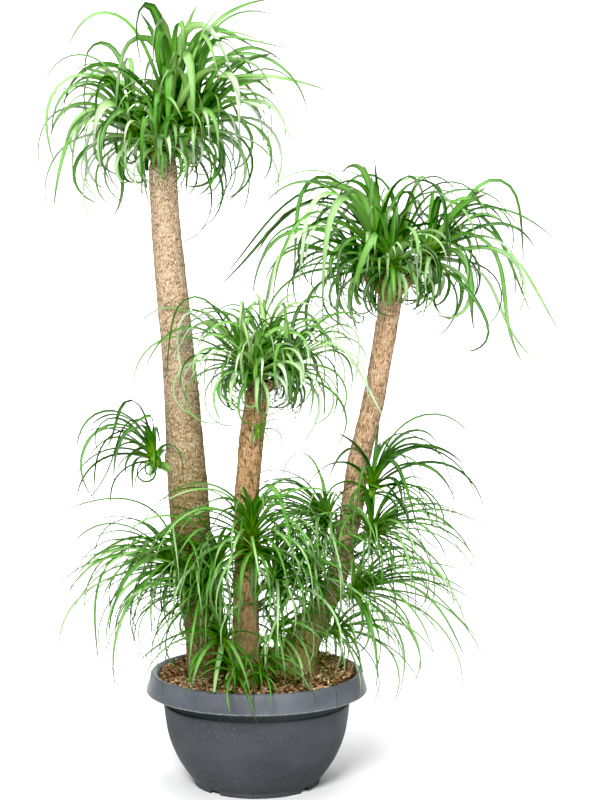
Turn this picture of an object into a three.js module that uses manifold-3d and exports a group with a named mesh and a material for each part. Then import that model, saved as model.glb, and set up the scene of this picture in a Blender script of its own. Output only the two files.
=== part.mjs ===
// A branched ponytail palm in a wide plastic bowl: three woody trunks stand in potting soil under a layer of
// bark mulch. Each trunk ends in a crown of several leaf heads, and smaller shoots grow from the trunks'
// sides and feet. Every leaf is a long narrow blade that rises from its head, arches over and hangs.
// Millimetres, +Z up. The origin is the centre of the bowl's base. The front is -Y and the right is +X.
// Compass angles are in degrees from +X towards +Y, so 270 is the front.
import * as THREE from "three";
import { mergeVertices } from "three/addons/utils/BufferGeometryUtils.js";
import Module from "manifold-3d";

const wasm = await Module();
wasm.setup();

// Driving dimensions of the bowl
const RIM_RADIUS = 250;
const BASE_RADIUS = 141.6;
const WALL = 4;
const FLOOR = 5;
const RIM_TOP = 259;
const RIM_BOTTOM = 214;
const BOWL_SIDES = 28;
const FIT_GAP = 0.5; // between the bowl's wall and what fills it
const DRAIN = {
  angles: [50, 140, 230, 320], width: 28, height: 10, from: 92, holeRadius: 5, holeAt: 112, holeSides: 10,
};
const CUT_PAST = 20; // how far a cut runs past what it cuts

// Outside of the bowl from the base's edge to the steps under the rim, as [radius, height]
const BOWL_OUTSIDE = [[145.5, 6], [157, 25], [178, 60], [195, 98], [206, 145], [212.5, 188]];
// The wall above, hidden behind the rim's skirt
const BOWL_NECK = [[209, 190], [209, 208], [224, 250]];
const RIM_SKIRT = [[234, 250], [246.3, RIM_BOTTOM], [RIM_RADIUS, RIM_BOTTOM], [237.5, 256], [231, RIM_TOP]];
const RIM_LIP = [222, 254];

// The filling: the soil's top is a plane that rises to the right and the back, and mulch lies on it
const SOIL_TOP = 242;
const SOIL_RISE = { x: 0.018, y: 0.008 };
const MULCH_DEPTH = 12;
const MULCH_RELIEF = 5;
const MULCH_HEAP = { height: 4, least: 0.3, toward: 60 }; // against the rim, where it leans highest
const MULCH_LUMPS = { waves: [0.071, 1.3, 0.043, 0.083, 0.9, 0.057], flatter: 0.6 }; // flatter at the rim
const MULCH_RINGS = 4;
const MULCH_REACH = 230; // past the bowl's wall, which cuts it
const SEAT_GAP = 0.3; // between pieces that rest on each other

// Trunks as centre line stations [x, y, z, radius], from below the soil to the cut top
const TRUNK_SIDES = 12;
const TRUNK_STEP = 62;
// Low bumps round a trunk: their height as a share of the radius, how many, and their turn from ring to ring
const TRUNK_BUMPS = [{ high: 0.025, round: 3, drift: 1.7 }, { high: 0.02, round: 2, drift: 2.3 }];
const TRUNKS = {
  tall: [
    [-108, -18, 120, 38], [-112, -15, 256, 45.5], [-114, -12, 329, 45], [-125, -10, 420, 46],
    [-143, -8, 534, 46], [-151, -5, 636, 45], [-157, -2, 726, 43.5], [-169, 2, 906, 39.5],
    [-180, 5, 1040, 36], [-193, 8, 1174, 33], [-203, 10, 1307, 30.5], [-206, 10, 1393, 30.5],
  ],
  middle: [
    [-24, -122, 130, 34], [-26, -120, 252, 41], [-23, -116, 329, 33], [-21, -110, 429, 28],
    [-19, -104, 555, 27], [-20, -98, 656, 26.5], [-13, -92, 740, 26.5], [-7, -88, 808, 27.5],
    [5, -85, 889, 28],
  ],
  right: [
    [84, -10, 125, 40], [87, -8, 248, 50], [93, -6, 293, 45], [116, -4, 346, 37], [152, -2, 407, 27.5],
    [182, 0, 473, 24], [202, 2, 562, 24], [214, 5, 619, 24.8], [227, 8, 714, 25], [244, 12, 792, 24.8],
    [262, 15, 867, 25.5], [279, 18, 959, 25], [295, 20, 1053, 24.6], [300, 20, 1094, 25],
  ],
};

// Leaf blades: stations along a leaf, where it is followed exactly, and those that its solid uses
const LEAF_STEPS = 24;
const BLADE_STATIONS = [0, 4, 10, 17];
const KEEL_SHARE = 0.16; // a blade's depth as a share of its width
const KEEL_LEAST = 1.2;
const FACET_TOLERANCE = 0.05; // facets flatter than this are merged
const CLEARANCE = 0.5; // between blades of different nodes
const STEM_REACH = 4; // how far a head's stem runs into what it joins
const CROWN_DOME = { height: 16, foot: 0.97, top: 0.7, stemFoot: 12, stemTop: 11 }; // woody top of a trunk
const CORE_THICK = { foot: [0.62, 3], tip: [0.3, 2] }; // radius as a share of the leaves' width, plus so much
const SHOOT_STEM = { sunk: 6, drop: 0.3, reach: 3, foot: 0.8 }; // sunk in the bark, rising, thinner there
const ROOT_OUT = 0.5; // how far from its head's axis a leaf's root is sunk, as a share of its width
const STRAY_TURNS = [0, 6, -6, 12, -12, 18, -18];
const SPIRAL_STRIDE = 7; // the spiral is tried in this stride, so that those made are of every age
const GOLDEN_ANGLE = 137.508;

// How a head's leaves change with age, which runs from 0 for the youngest to 1 for the oldest, and how far a
// repeatable draw spreads each value. Angles are in degrees, and lengths and widths are shares of the head's.
const GROWTH = {
  turn: { spread: 24 },
  open: { least: 4, power: 0.8, spread: 9 },
  fall: { least: 12, more: 62, power: 0.55, spread: 36, old: 30, oldPower: 1.5 },
  bend: { young: 0.66, less: 0.36, spread: 0.2 },
  ease: { least: 0.16, more: 0.1, spread: 0.2 },
  length: { ends: 0.7, middle: 0.3, power: 0.8, least: 0.76, spread: 0.4, old: 0.35 },
  width: { least: 0.75, spread: 0.35, young: 1.1, less: 0.3 },
  sweep: { least: 50, more: 70 },
  curl: { least: 0.08, more: 0.92, power: 1.5, drawn: 0.25, spread: 0.75 },
};
const OLD_FROM = 0.5; // the age from which a leaf counts as old
const CURL_POWER = 2.2; // a leaf curls with this power of the way along it
const SHY_POWER = 1.2; // leaves are shorter towards the front, by the head's `shy` and this power
const CORE_ROOTS = { youngest: 0.9, oldest: 0.1, strayStep: 0.13 }; // where leaves start along a head's core
const BLADE_TAPER = { foot: 0.35, widest: 0.14, power: 1.3, end: 0.95 };
const CLEAR_FOOT = 0.16; // the share of a leaf that may touch the trunk it grows from
const TRUNK_ROOM = 7; // between a leaf's middle and a trunk
const GROUND_ROOM = 4; // between a leaf's middle and the mulch
const RIM_ROOM = 5; // between a leaf's middle and the rim

// Each crown is a set of heads at [x, y, z] that lean by so many degrees towards a compass angle. `leaves` is
// the full count of the plant, of which up to `made` are made here. Strays are single long leaves, as
// [compass angle, rise, fall, bend, ease, curl, length, width]: rise and fall are the slopes of its foot and
// its tip, ease is how softly it bends and curl is how far it curls on.
const CROWN_LEAVES = { splay: 96, core: 34, droop: 1, curl: 190, shy: 0.5 };
const CROWNS = {
  crown_tall: {
    trunk: "tall",
    made: 6,
    heads: [
      {
        at: [-189, -10, 1456], lean: 4, toward: 10, leaves: 40, seed: 11, length: 420, width: 20,
        strays: [
          [235, 85, -60, 0.61, 0.09, 60, 444, 26], [259, 80, -136, 0.54, 0.14, 14, 428, 26],
          [321, 67, 40, 0.79, 0.13, 16, 318, 8], [12, 72, 52, 0.58, 0.09, 57, 412, 12],
        ],
      },
      {
        at: [-262, 0, 1440], lean: 26, toward: 185, leaves: 38, seed: 12, length: 330, width: 19,
        strays: [
          [151, 84, -30, 0.71, 0.16, 84, 331, 15], [161, 81, -110, 0.74, 0.46, -28, 365, 8],
          [208, 81, -71, 0.12, 0.29, 14, 380, 15], [199, -4, -49, 0.14, 0.12, 93, 255, 11],
        ],
      },
      {
        at: [-150, -8, 1455], lean: 32, toward: 352, leaves: 40, seed: 13, length: 350, width: 19,
        strays: [
          [4, 87, 60, 0.66, 0.26, 98, 375, 8], [358, 88, -15, 0.46, 0.13, -3, 393, 8],
          [1, 85, -6, 0.15, 0.29, 14, 370, 17], [352, 84, -6, 0.34, 0.25, 86, 434, 10],
        ],
      },
      {
        at: [-212, -36, 1424], lean: 40, toward: 262, leaves: 32, seed: 14, length: 250, width: 14,
        strays: [[264, 22, -96, 0.4, 0.13, 0, 400, 13]],
      },
      {
        at: [-192, 44, 1430], lean: 34, toward: 80, leaves: 43, seed: 15, length: 370, width: 19,
        strays: [[88, 34, -86, 0.42, 0.13, 0, 420, 12], [62, 48, -64, 0.4, 0.13, 0, 380, 11]],
      },
    ],
  },
  crown_middle: {
    trunk: "middle",
    made: 6,
    heads: [
      {
        at: [-20, -86, 940], lean: 16, toward: 178, leaves: 58, seed: 21, length: 300, width: 12,
        strays: [[182, 58, -98, 0.4, 0.13, 0, 370, 9], [192, 64, -84, 0.46, 0.13, 0, 380, 8]],
      },
      { at: [22, -68, 946], lean: 8, toward: 60, leaves: 55, seed: 22, length: 300, width: 12 },
      {
        at: [56, -92, 930], lean: 32, toward: 355, leaves: 58, seed: 23, length: 295, width: 12,
        strays: [[352, 34, -62, 0.3, 0.13, 0, 330, 8], [5, 46, -100, 0.46, 0.13, 0, 340, 9]],
      },
      { at: [2, -122, 926], lean: 30, toward: 265, leaves: 46, seed: 24, length: 250, width: 12, shy: 0.3 },
    ],
  },
  crown_right: {
    trunk: "right",
    made: 7,
    heads: [
      {
        at: [272, -6, 1180], lean: 10, toward: 185, leaves: 42, seed: 31, length: 370, width: 18,
        strays: [
          [223, 82, -84, 0.77, 0.22, -30, 266, 20], [150, 88, -70, 0.21, 0.39, -26, 566, 11],
          [159, 65, -72, 0.42, 0.4, -12, 396, 11], [234, 30, -28, 0.48, 0.17, 65, 522, 9],
        ],
      },
      {
        at: [376, 0, 1172], lean: 34, toward: 356, leaves: 42, seed: 32, length: 330, width: 17,
        strays: [
          [1, 76, -27, 0.2, 0.48, 20, 354, 9], [29, 62, -67, 0.3, 0.18, -5, 447, 10],
          [354, 56, -113, 0.21, 0.27, -60, 431, 16], [301, -20, -92, 0.69, 0.05, 103, 386, 9],
        ],
      },
      {
        at: [322, 46, 1176], lean: 20, toward: 75, leaves: 45, seed: 33, length: 370, width: 16,
        strays: [[84, 34, -84, 0.4, 0.13, 0, 400, 12]],
      },
      {
        at: [300, -44, 1156], lean: 40, toward: 264, leaves: 40, seed: 34, length: 290, width: 15,
        strays: [[266, 26, -92, 0.4, 0.13, 0, 400, 12]],
      },
      {
        at: [248, 26, 1150], lean: 46, toward: 165, leaves: 34, seed: 35, length: 325, width: 15,
        strays: [[176, 26, -80, 0.36, 0.13, 0, 400, 11]],
      },
    ],
  },
};

// A shoot grows from a trunk's bark at a height and a compass angle, on a short stem
const SHOOTS = {
  shoot_tall_left: {
    trunk: "tall", height: 730, side: 205, stem: 26, lean: 34, toward: 190, leaves: 18, made: 6,
    seed: 41, length: 230, width: 13, splay: 64, curl: 70,
    strays: [
      [176, 74, -129, 0.59, 0.43, -38, 294, 8], [208, 69, -91, 0.35, 0.5, 48, 345, 9],
      [178, 77, -101, 0.26, 0.35, -13, 293, 8], [193, 87, -90, 0.27, 0.12, -60, 341, 8],
    ],
  },
  shoot_right_side: {
    trunk: "right", height: 660, side: 320, stem: 22, lean: 16, toward: 345, leaves: 22, made: 7,
    seed: 42, length: 330, width: 14, splay: 72, curl: 90,
    strays: [
      [158, 50, 0, 0.77, 0.18, -19, 232, 8], [352, 77, -38, 0.72, 0.49, 32, 335, 8],
      [330, 72, -18, 0.11, 0.42, 85, 396, 10], [305, 62, -50, 0.43, 0.44, 75, 475, 8],
    ],
  },
  sprig_middle: {
    trunk: "middle", height: 806, side: 285, stem: 8, lean: 40, toward: 300, leaves: 16, made: 5,
    seed: 43, length: 90, width: 5, splay: 80,
  },
  basal_middle_front: {
    trunk: "middle", height: 560, side: 285, stem: 20, lean: 18, toward: 272, leaves: 72, made: 7,
    seed: 51, length: 330, width: 11, curl: 80, shy: 0.1,
    strays: [[244, 64, -92, 0.3, 0.13, 0, 380, 11], [292, 66, -94, 0.32, 0.13, 0, 380, 11]],
  },
  basal_tall_upper: {
    trunk: "tall", height: 500, side: 318, stem: 30, lean: 34, toward: 250, leaves: 54, made: 6,
    seed: 52, length: 330, width: 10, curl: 110, shy: 0.2,
    strays: [[186, 34, -14, 0.3, 0.13, 0, 320, 8], [195, 40, -60, 0.36, 0.13, 0, 360, 9]],
  },
  basal_tall_middle: {
    trunk: "tall", height: 500, side: 238, stem: 20, lean: 50, toward: 205, leaves: 51, made: 6,
    seed: 53, length: 340, width: 10, curl: 110, shy: 0.3,
    strays: [[184, 24, -42, 0.4, 0.13, 0, 330, 8], [200, 26, -84, 0.46, 0.13, 0, 340, 9]],
  },
  basal_tall_low: {
    trunk: "tall", height: 436, side: 285, stem: 18, lean: 50, toward: 225, leaves: 57, made: 6,
    seed: 54, length: 310, width: 10, curl: 110, shy: 0.2,
  },
  basal_middle_left: {
    trunk: "middle", height: 350, side: 205, stem: 16, lean: 50, toward: 245, leaves: 25, made: 6,
    seed: 55, length: 230, width: 13, splay: 88, curl: 90, shy: 0.1,
  },
  basal_middle_right: {
    trunk: "middle", height: 356, side: 8, stem: 26, lean: 44, toward: 330, leaves: 64, made: 6,
    seed: 56, length: 300, width: 9, curl: 110, shy: 0.2,
  },
  basal_middle_high: {
    trunk: "middle", height: 470, side: 12, stem: 26, lean: 40, toward: 330, leaves: 80, made: 6,
    seed: 57, length: 320, width: 9, curl: 110, shy: 0.1,
  },
  basal_right_inner: {
    trunk: "right", height: 462, side: 205, stem: 22, lean: 34, toward: 235, leaves: 86, made: 6,
    seed: 58, length: 320, width: 9, curl: 110, shy: 0.1,
  },
  basal_right_upper: {
    trunk: "right", height: 566, side: 345, stem: 26, lean: 40, toward: 345, leaves: 58, made: 6,
    seed: 59, length: 320, width: 9, curl: 110, shy: 0.2,
  },
  basal_right_middle: {
    trunk: "right", height: 436, side: 330, stem: 24, lean: 60, toward: 355, leaves: 45, made: 6,
    seed: 60, length: 340, width: 9, curl: 110, shy: 0.3,
    strays: [[358, 14, -46, 0.36, 0.13, 0, 320, 8], [345, 20, -56, 0.36, 0.13, 0, 320, 8]],
  },
  basal_right_low: {
    trunk: "right", height: 352, side: 330, stem: 22, lean: 62, toward: 335, leaves: 36, made: 6,
    seed: 61, length: 290, width: 9, curl: 110, shy: 0.4,
  },
  basal_right_left: {
    trunk: "right", height: 590, side: 175, stem: 18, lean: 46, toward: 215, leaves: 76, made: 6,
    seed: 62, length: 310, width: 9, curl: 110, shy: 0.1,
  },
  sprout_front_left: {
    trunk: "middle", height: 276, side: 252, stem: 8, lean: 46, toward: 262, leaves: 20, made: 5,
    seed: 63, length: 200, width: 9, splay: 78, curl: 60, shy: 0,
  },
  sprout_front_right: {
    trunk: "middle", height: 280, side: 312, stem: 12, lean: 40, toward: 300, leaves: 26, made: 5,
    seed: 64, length: 180, width: 7, splay: 80, curl: 60, shy: 0,
  },
  basal_tall_back: {
    trunk: "tall", height: 430, side: 95, stem: 20, lean: 46, toward: 105, leaves: 39, made: 6, seed: 65,
    length: 330, width: 10, curl: 110,
  },
  basal_right_back: {
    trunk: "right", height: 470, side: 85, stem: 20, lean: 42, toward: 70, leaves: 39, made: 6, seed: 66,
    length: 330, width: 9, curl: 110,
  },
  basal_middle_back: {
    trunk: "middle", height: 372, side: 92, stem: 20, lean: 34, toward: 60, leaves: 31, made: 6,
    seed: 67, length: 290, width: 9, curl: 110,
  },
};
const SHOOT_LEAVES = { splay: 88, core: 24, droop: 0.86, curl: 190, shy: 0.5 };

const MATERIALS = {
  bowl: new THREE.MeshStandardMaterial({ color: 0x47484c, roughness: 0.62, metalness: 0 }),
  soil: new THREE.MeshStandardMaterial({ color: 0x3a2b20, roughness: 0.95, metalness: 0 }),
  mulch: new THREE.MeshStandardMaterial({ color: 0x7d573f, roughness: 0.95, metalness: 0 }),
  bark: new THREE.MeshStandardMaterial({ color: 0xa98a63, roughness: 0.9, metalness: 0 }),
  leaf: new THREE.MeshStandardMaterial({ color: 0x4f8f3a, roughness: 0.5, metalness: 0 }),
};

const radians = THREE.MathUtils.degToRad;
const compass = (degrees) => new THREE.Vector3(Math.cos(radians(degrees)), Math.sin(radians(degrees)), 0);

// Solids

/** Turns a closed geometry into a solid. */
function solid(geometry) {
  const bare = geometry.clone();
  bare.deleteAttribute("normal");
  bare.deleteAttribute("uv");
  const merged = mergeVertices(bare, 1e-4);
  return new wasm.Manifold(new wasm.Mesh({
    numProp: 3,
    vertProperties: new Float32Array(merged.attributes.position.array),
    triVerts: new Uint32Array(merged.index.array),
  }));
}

/** Turns a solid back into a geometry. */
function geometryOf(made) {
  const mesh = made.getMesh();
  return new THREE.BufferGeometry()
    .setAttribute("position", new THREE.BufferAttribute(new Float32Array(mesh.vertProperties), 3))
    .setIndex(new THREE.BufferAttribute(new Uint32Array(mesh.triVerts), 1));
}

/** The largest body of a solid: what a cut leaves loose is dropped. */
function largestBody(made) {
  return made.decompose().reduce((best, body) => (body.volume() > best.volume() ? body : best));
}

function geometryFrom(positions, triangles) {
  return new THREE.BufferGeometry()
    .setAttribute("position", new THREE.BufferAttribute(new Float32Array(positions), 3))
    .setIndex(triangles);
}

/** A solid of revolution about +Z from a profile of [radius, height] that starts and ends on the axis. */
function turned(profile) {
  const points = profile.map(([radius, height]) => new THREE.Vector2(radius, height));
  return solid(new THREE.LatheGeometry(points, BOWL_SIDES).rotateX(Math.PI / 2));
}

/** A box placed with its inner end at a distance from the axis, turned to a compass angle. */
function radialBox(angle, from, to, width, bottom, top) {
  const box = new THREE.BoxGeometry(to - from, width, top - bottom);
  box.translate((from + to) / 2, 0, (bottom + top) / 2).rotateZ(radians(angle));
  return solid(box);
}

// Bowl

/** The wall's inside: the outside moved in by the wall's thickness. */
const BOWL_INSIDE = [...BOWL_OUTSIDE.slice(1), ...BOWL_NECK.slice(1, 2)].map(([radius, height]) => [
  radius - WALL, height]);

function bowl() {
  const shell = turned([
    [0, 0], [BASE_RADIUS, 0], ...BOWL_OUTSIDE, ...BOWL_NECK, ...RIM_SKIRT, RIM_LIP,
    ...[...BOWL_INSIDE].reverse(), [BASE_RADIUS - WALL, FLOOR], [0, FLOOR],
  ]);
  const humps = DRAIN.angles.map((angle) => drainHump(angle, 0));
  const channels = DRAIN.angles.map((angle) => radialBox(
    angle, DRAIN.from, BASE_RADIUS + CUT_PAST, DRAIN.width, -CUT_PAST, DRAIN.height));
  const holes = DRAIN.angles.map((angle) => {
    const { holeRadius, holeSides } = DRAIN;
    const hole = new THREE.CylinderGeometry(holeRadius, holeRadius, 2 * CUT_PAST, holeSides);
    const at = compass(angle).multiplyScalar(DRAIN.holeAt);
    return solid(hole.rotateX(Math.PI / 2).translate(at.x, at.y, 0));
  });
  return shell.add(wasm.Manifold.union(humps)).subtract(wasm.Manifold.union([...channels, ...holes]));
}

/** The raised floor over one drain channel, grown by a gap where it is cut out of the soil. */
function drainHump(angle, gap) {
  return radialBox(
    angle, DRAIN.from - WALL - gap, BASE_RADIUS + 1, DRAIN.width + 2 * (WALL + gap), FLOOR - 1,
    DRAIN.height + WALL + gap);
}

// Soil and mulch

/** What fits inside the bowl, open upwards past the rim. */
function cavity() {
  const wall = [[BASE_RADIUS - WALL, FLOOR + SEAT_GAP], ...BOWL_INSIDE, RIM_LIP].map(([radius, height]) => [
    radius - FIT_GAP, height]);
  const top = RIM_TOP + 2 * CUT_PAST;
  return turned([[0, FLOOR + SEAT_GAP], ...wall, [RIM_LIP[0] - FIT_GAP, top], [0, top]]);
}

/** Height of the soil's top plane. */
const soilHeight = (x, y) => SOIL_TOP + SOIL_RISE.x * x + SOIL_RISE.y * y;

/** Height of the mulch's top: its depth over the soil, slow lumps, and a heap against the rim. */
function mulchHeight(x, y) {
  const out = Math.min(1, Math.hypot(x, y) / RIM_LIP[0]) ** 2;
  const facing = 0.5 + 0.5 * Math.cos(Math.atan2(y, x) - radians(MULCH_HEAP.toward));
  const heap = MULCH_HEAP.height * out * (MULCH_HEAP.least + (1 - MULCH_HEAP.least) * facing);
  const { waves, flatter } = MULCH_LUMPS;
  const lump = Math.sin(waves[0] * x + waves[1] * Math.sin(waves[2] * y))
    * Math.cos(waves[3] * y - waves[4] * Math.sin(waves[5] * x));
  return soilHeight(x, y) + MULCH_DEPTH + MULCH_RELIEF * lump * (1 - flatter * out) + heap;
}

/** A disc between two height functions, as rings of a round grid. */
function disc(radius, rings, low, high) {
  const positions = [0, 0, high(0, 0), 0, 0, low(0, 0)];
  const triangles = [];
  const vertex = (ring, side, lower) => 2 + ((ring * BOWL_SIDES + (side % BOWL_SIDES)) * 2) + (lower ? 1 : 0);
  for (let ring = 0; ring < rings; ring++) {
    for (let side = 0; side < BOWL_SIDES; side++) {
      const turn = (2 * Math.PI * side) / BOWL_SIDES;
      const x = (radius * (ring + 1) / rings) * Math.cos(turn);
      const y = (radius * (ring + 1) / rings) * Math.sin(turn);
      positions.push(x, y, high(x, y), x, y, low(x, y));
      const next = side + 1;
      if (ring === 0) {
        triangles.push(0, vertex(0, side), vertex(0, next), 1, vertex(0, next, true), vertex(0, side, true));
        continue;
      }
      const [a, b] = [vertex(ring - 1, side), vertex(ring, side)];
      const [c, d] = [vertex(ring, next), vertex(ring - 1, next)];
      triangles.push(a, b, c, a, c, d, a + 1, c + 1, b + 1, a + 1, d + 1, c + 1);
    }
  }
  for (let side = 0; side < BOWL_SIDES; side++) {
    const [a, b] = [vertex(rings - 1, side), vertex(rings - 1, side + 1)];
    triangles.push(a, a + 1, b + 1, a, b + 1, b);
  }
  return solid(geometryFrom(positions, triangles));
}

function soil(inside, trunkHoles) {
  const above = disc(RIM_RADIUS + CUT_PAST, 1, soilHeight, () => RIM_TOP + 3 * CUT_PAST);
  const humps = DRAIN.angles.map((angle) => drainHump(angle, SEAT_GAP));
  return inside.subtract(above).subtract(wasm.Manifold.union([...humps, ...trunkHoles]));
}

function mulch(inside, trunkHoles) {
  const layer = disc(MULCH_REACH, MULCH_RINGS, (x, y) => soilHeight(x, y) + SEAT_GAP, mulchHeight);
  return largestBody(layer.intersect(inside).subtract(wasm.Manifold.union(trunkHoles)));
}

// Trunks

/** A smooth curve through a trunk's stations, with its radius carried along as a fourth value. */
class TrunkLine {
  constructor(stations) {
    this.line = new THREE.CatmullRomCurve3(
      stations.map(([x, y, z]) => new THREE.Vector3(x, y, z)), false, "catmullrom", 0.5);
    this.stations = stations;
  }

  /** Centre, direction and radius at a share of the station count. */
  at(share) {
    const place = share * (this.stations.length - 1);
    const before = Math.min(Math.floor(place), this.stations.length - 2);
    const [from, to] = [this.stations[before][3], this.stations[before + 1][3]];
    return {
      centre: this.line.getPoint(share),
      along: this.line.getTangent(share),
      radius: from + (to - from) * (place - before),
    };
  }

  /** The place on the line at a height. */
  atHeight(height) {
    let [low, high] = [0, 1];
    for (let halving = 0; halving < 24; halving++) {
      const middle = (low + high) / 2;
      [low, high] = this.line.getPoint(middle).z < height ? [middle, high] : [low, middle];
    }
    return this.at(low);
  }

  get top() {
    return this.at(1);
  }
}

const trunkLines = Object.fromEntries(
  Object.entries(TRUNKS).map(([name, stations]) => [name, new TrunkLine(stations)]));

/** A trunk as rings of corners square to its line, with low bumps, grown by a gap where it cuts. */
function trunk(name, grow) {
  const line = trunkLines[name];
  const [first, second] = TRUNK_BUMPS;
  const rings = Math.round((line.stations.at(-1)[2] - line.stations[0][2]) / TRUNK_STEP);
  const positions = [];
  const triangles = [];
  for (let ring = 0; ring <= rings; ring++) {
    const { centre, along, radius } = line.at(ring / rings);
    const across = new THREE.Vector3(0, 1, 0).cross(along).normalize();
    const other = along.clone().cross(across);
    for (let side = 0; side < TRUNK_SIDES; side++) {
      const turn = (2 * Math.PI * (side + (ring % 2) / 2)) / TRUNK_SIDES;
      const bump = first.high * Math.sin(first.round * turn + first.drift * ring)
        + second.high * Math.cos(second.round * turn - second.drift * ring);
      const reach = radius * (1 + bump) + grow;
      const corner = centre.clone()
        .addScaledVector(across, reach * Math.cos(turn))
        .addScaledVector(other, reach * Math.sin(turn));
      positions.push(...corner.toArray());
    }
  }
  const ends = [line.at(0), line.at(1)].map(({ centre, along }, end) => centre.addScaledVector(
    along, end ? grow : -grow));
  positions.push(...ends[0].toArray(), ...ends[1].toArray());
  const [foot, head] = [(rings + 1) * TRUNK_SIDES, (rings + 1) * TRUNK_SIDES + 1];
  for (let side = 0; side < TRUNK_SIDES; side++) {
    const next = (side + 1) % TRUNK_SIDES;
    triangles.push(foot, next, side, head, rings * TRUNK_SIDES + side, rings * TRUNK_SIDES + next);
    for (let ring = 0; ring < rings; ring++) {
      const [a, b] = [ring * TRUNK_SIDES + side, ring * TRUNK_SIDES + next];
      const [c, d] = [a + TRUNK_SIDES, b + TRUNK_SIDES];
      triangles.push(...(ring % 2 ? [a, b, c, b, d, c] : [a, b, d, a, d, c]));
    }
  }
  return solid(geometryFrom(positions, triangles));
}

/** A tapered round bar between two points. */
function bar(from, to, radiusFrom, radiusTo, sides = 6) {
  const span = new THREE.Vector3().subVectors(to, from);
  const cone = new THREE.CylinderGeometry(radiusTo, radiusFrom, span.length(), sides);
  const turn = new THREE.Quaternion().setFromUnitVectors(new THREE.Vector3(0, 1, 0), span.normalize());
  cone.applyQuaternion(turn);
  const middle = from.clone().add(to).multiplyScalar(0.5);
  return solid(cone.translate(middle.x, middle.y, middle.z));
}

// Leaves

/** A repeatable number from 0 to 1 for one leaf of a head and one use of it. */
function draw(seed, leaf, use) {
  const mixed = Math.sin(seed * 12.9898 + leaf * 78.233 + use * 37.719) * 43758.5453;
  return mixed - Math.floor(mixed);
}

/** The unit vector along a head: upright, leaned towards its compass angle. */
function axisOf(head) {
  return compass(head.toward).multiplyScalar(Math.sin(radians(head.lean))).setZ(Math.cos(radians(head.lean)));
}

/**
 * How one leaf of a head grows. Leaves stand in a spiral: the youngest, inside, are upright and bend late,
 * and the oldest, outside, start low and hang.
 */
function leafOf(head, index) {
  const pick = (use) => draw(head.seed, index, use);
  const age = (index + 0.5) / head.leaves;
  const axis = axisOf(head);
  const across = new THREE.Vector3(0, 1, 0).cross(axis).normalize();
  const other = axis.clone().cross(across);
  const { open, fall, bend, ease, length, width, sweep, curl } = GROWTH;
  const turn = radians(index * GOLDEN_ANGLE + GROWTH.turn.spread * (pick(1) - 0.5));
  const opening = radians(open.least + head.splay * age ** open.power + open.spread * (pick(2) - 0.5));
  const way = axis.clone().multiplyScalar(Math.cos(opening))
    .addScaledVector(across, Math.sin(opening) * Math.cos(turn))
    .addScaledVector(other, Math.sin(opening) * Math.sin(turn));
  const old = Math.max(0, age - OLD_FROM) / (1 - OLD_FROM);
  const falling = fall.least + fall.more * age ** fall.power + fall.spread * pick(3)
    + fall.old * old * pick(8) ** fall.oldPower;
  const swell = length.ends + length.middle * Math.sin(Math.PI * age ** length.power);
  const kept = (1 - length.old * old) * (1 - head.shy * Math.max(0, -way.y) ** SHY_POWER);
  const root = CORE_ROOTS.youngest - (CORE_ROOTS.youngest - CORE_ROOTS.oldest) * age;
  return {
    from: new THREE.Vector3(...head.at).addScaledVector(axis, head.core * root)
      .addScaledVector(way, head.width * ROOT_OUT),
    azimuth: Math.atan2(way.y, way.x),
    rise: Math.asin(way.z),
    fall: radians(-head.droop * falling),
    bend: bend.young - bend.less * age + bend.spread * (pick(4) - 0.5),
    ease: ease.least + ease.more * age + ease.spread * pick(5),
    length: head.length * swell * (length.least + length.spread * pick(6)) * kept,
    width: head.width * (width.least + width.spread * pick(7)) * (width.young - width.less * age),
    sweep: radians((sweep.least + sweep.more * age) * (pick(9) - 0.5)),
    curl: radians(
      head.curl * (curl.least + curl.more * age ** curl.power) * (curl.drawn + curl.spread * pick(12))),
  };
}

/** A stray leaf from its row of numbers; strays of one head start at different heights of its core. */
function strayOf(head, [azimuth, rise, fall, bend, ease, curl, length, width], index) {
  const way = compass(azimuth).multiplyScalar(Math.cos(radians(rise))).setZ(Math.sin(radians(rise)));
  return {
    from: new THREE.Vector3(...head.at)
      .addScaledVector(axisOf(head), head.core * (CORE_ROOTS.youngest - CORE_ROOTS.strayStep * index))
      .addScaledVector(way, head.width * ROOT_OUT),
    azimuth: radians(azimuth),
    rise: radians(rise),
    fall: radians(fall),
    bend,
    ease,
    length,
    width,
    sweep: 0,
    curl: radians(curl),
  };
}

/** Height that a leaf may not go below: the mulch inside the rim, the rim's top over it, nothing outside. */
function groundUnder(point) {
  const reach = Math.hypot(point.x, point.y);
  if (reach < RIM_LIP[0]) return mulchHeight(point.x, point.y) + GROUND_ROOM;
  return reach < RIM_RADIUS + RIM_ROOM ? RIM_TOP + RIM_ROOM : -Infinity;
}

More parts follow.
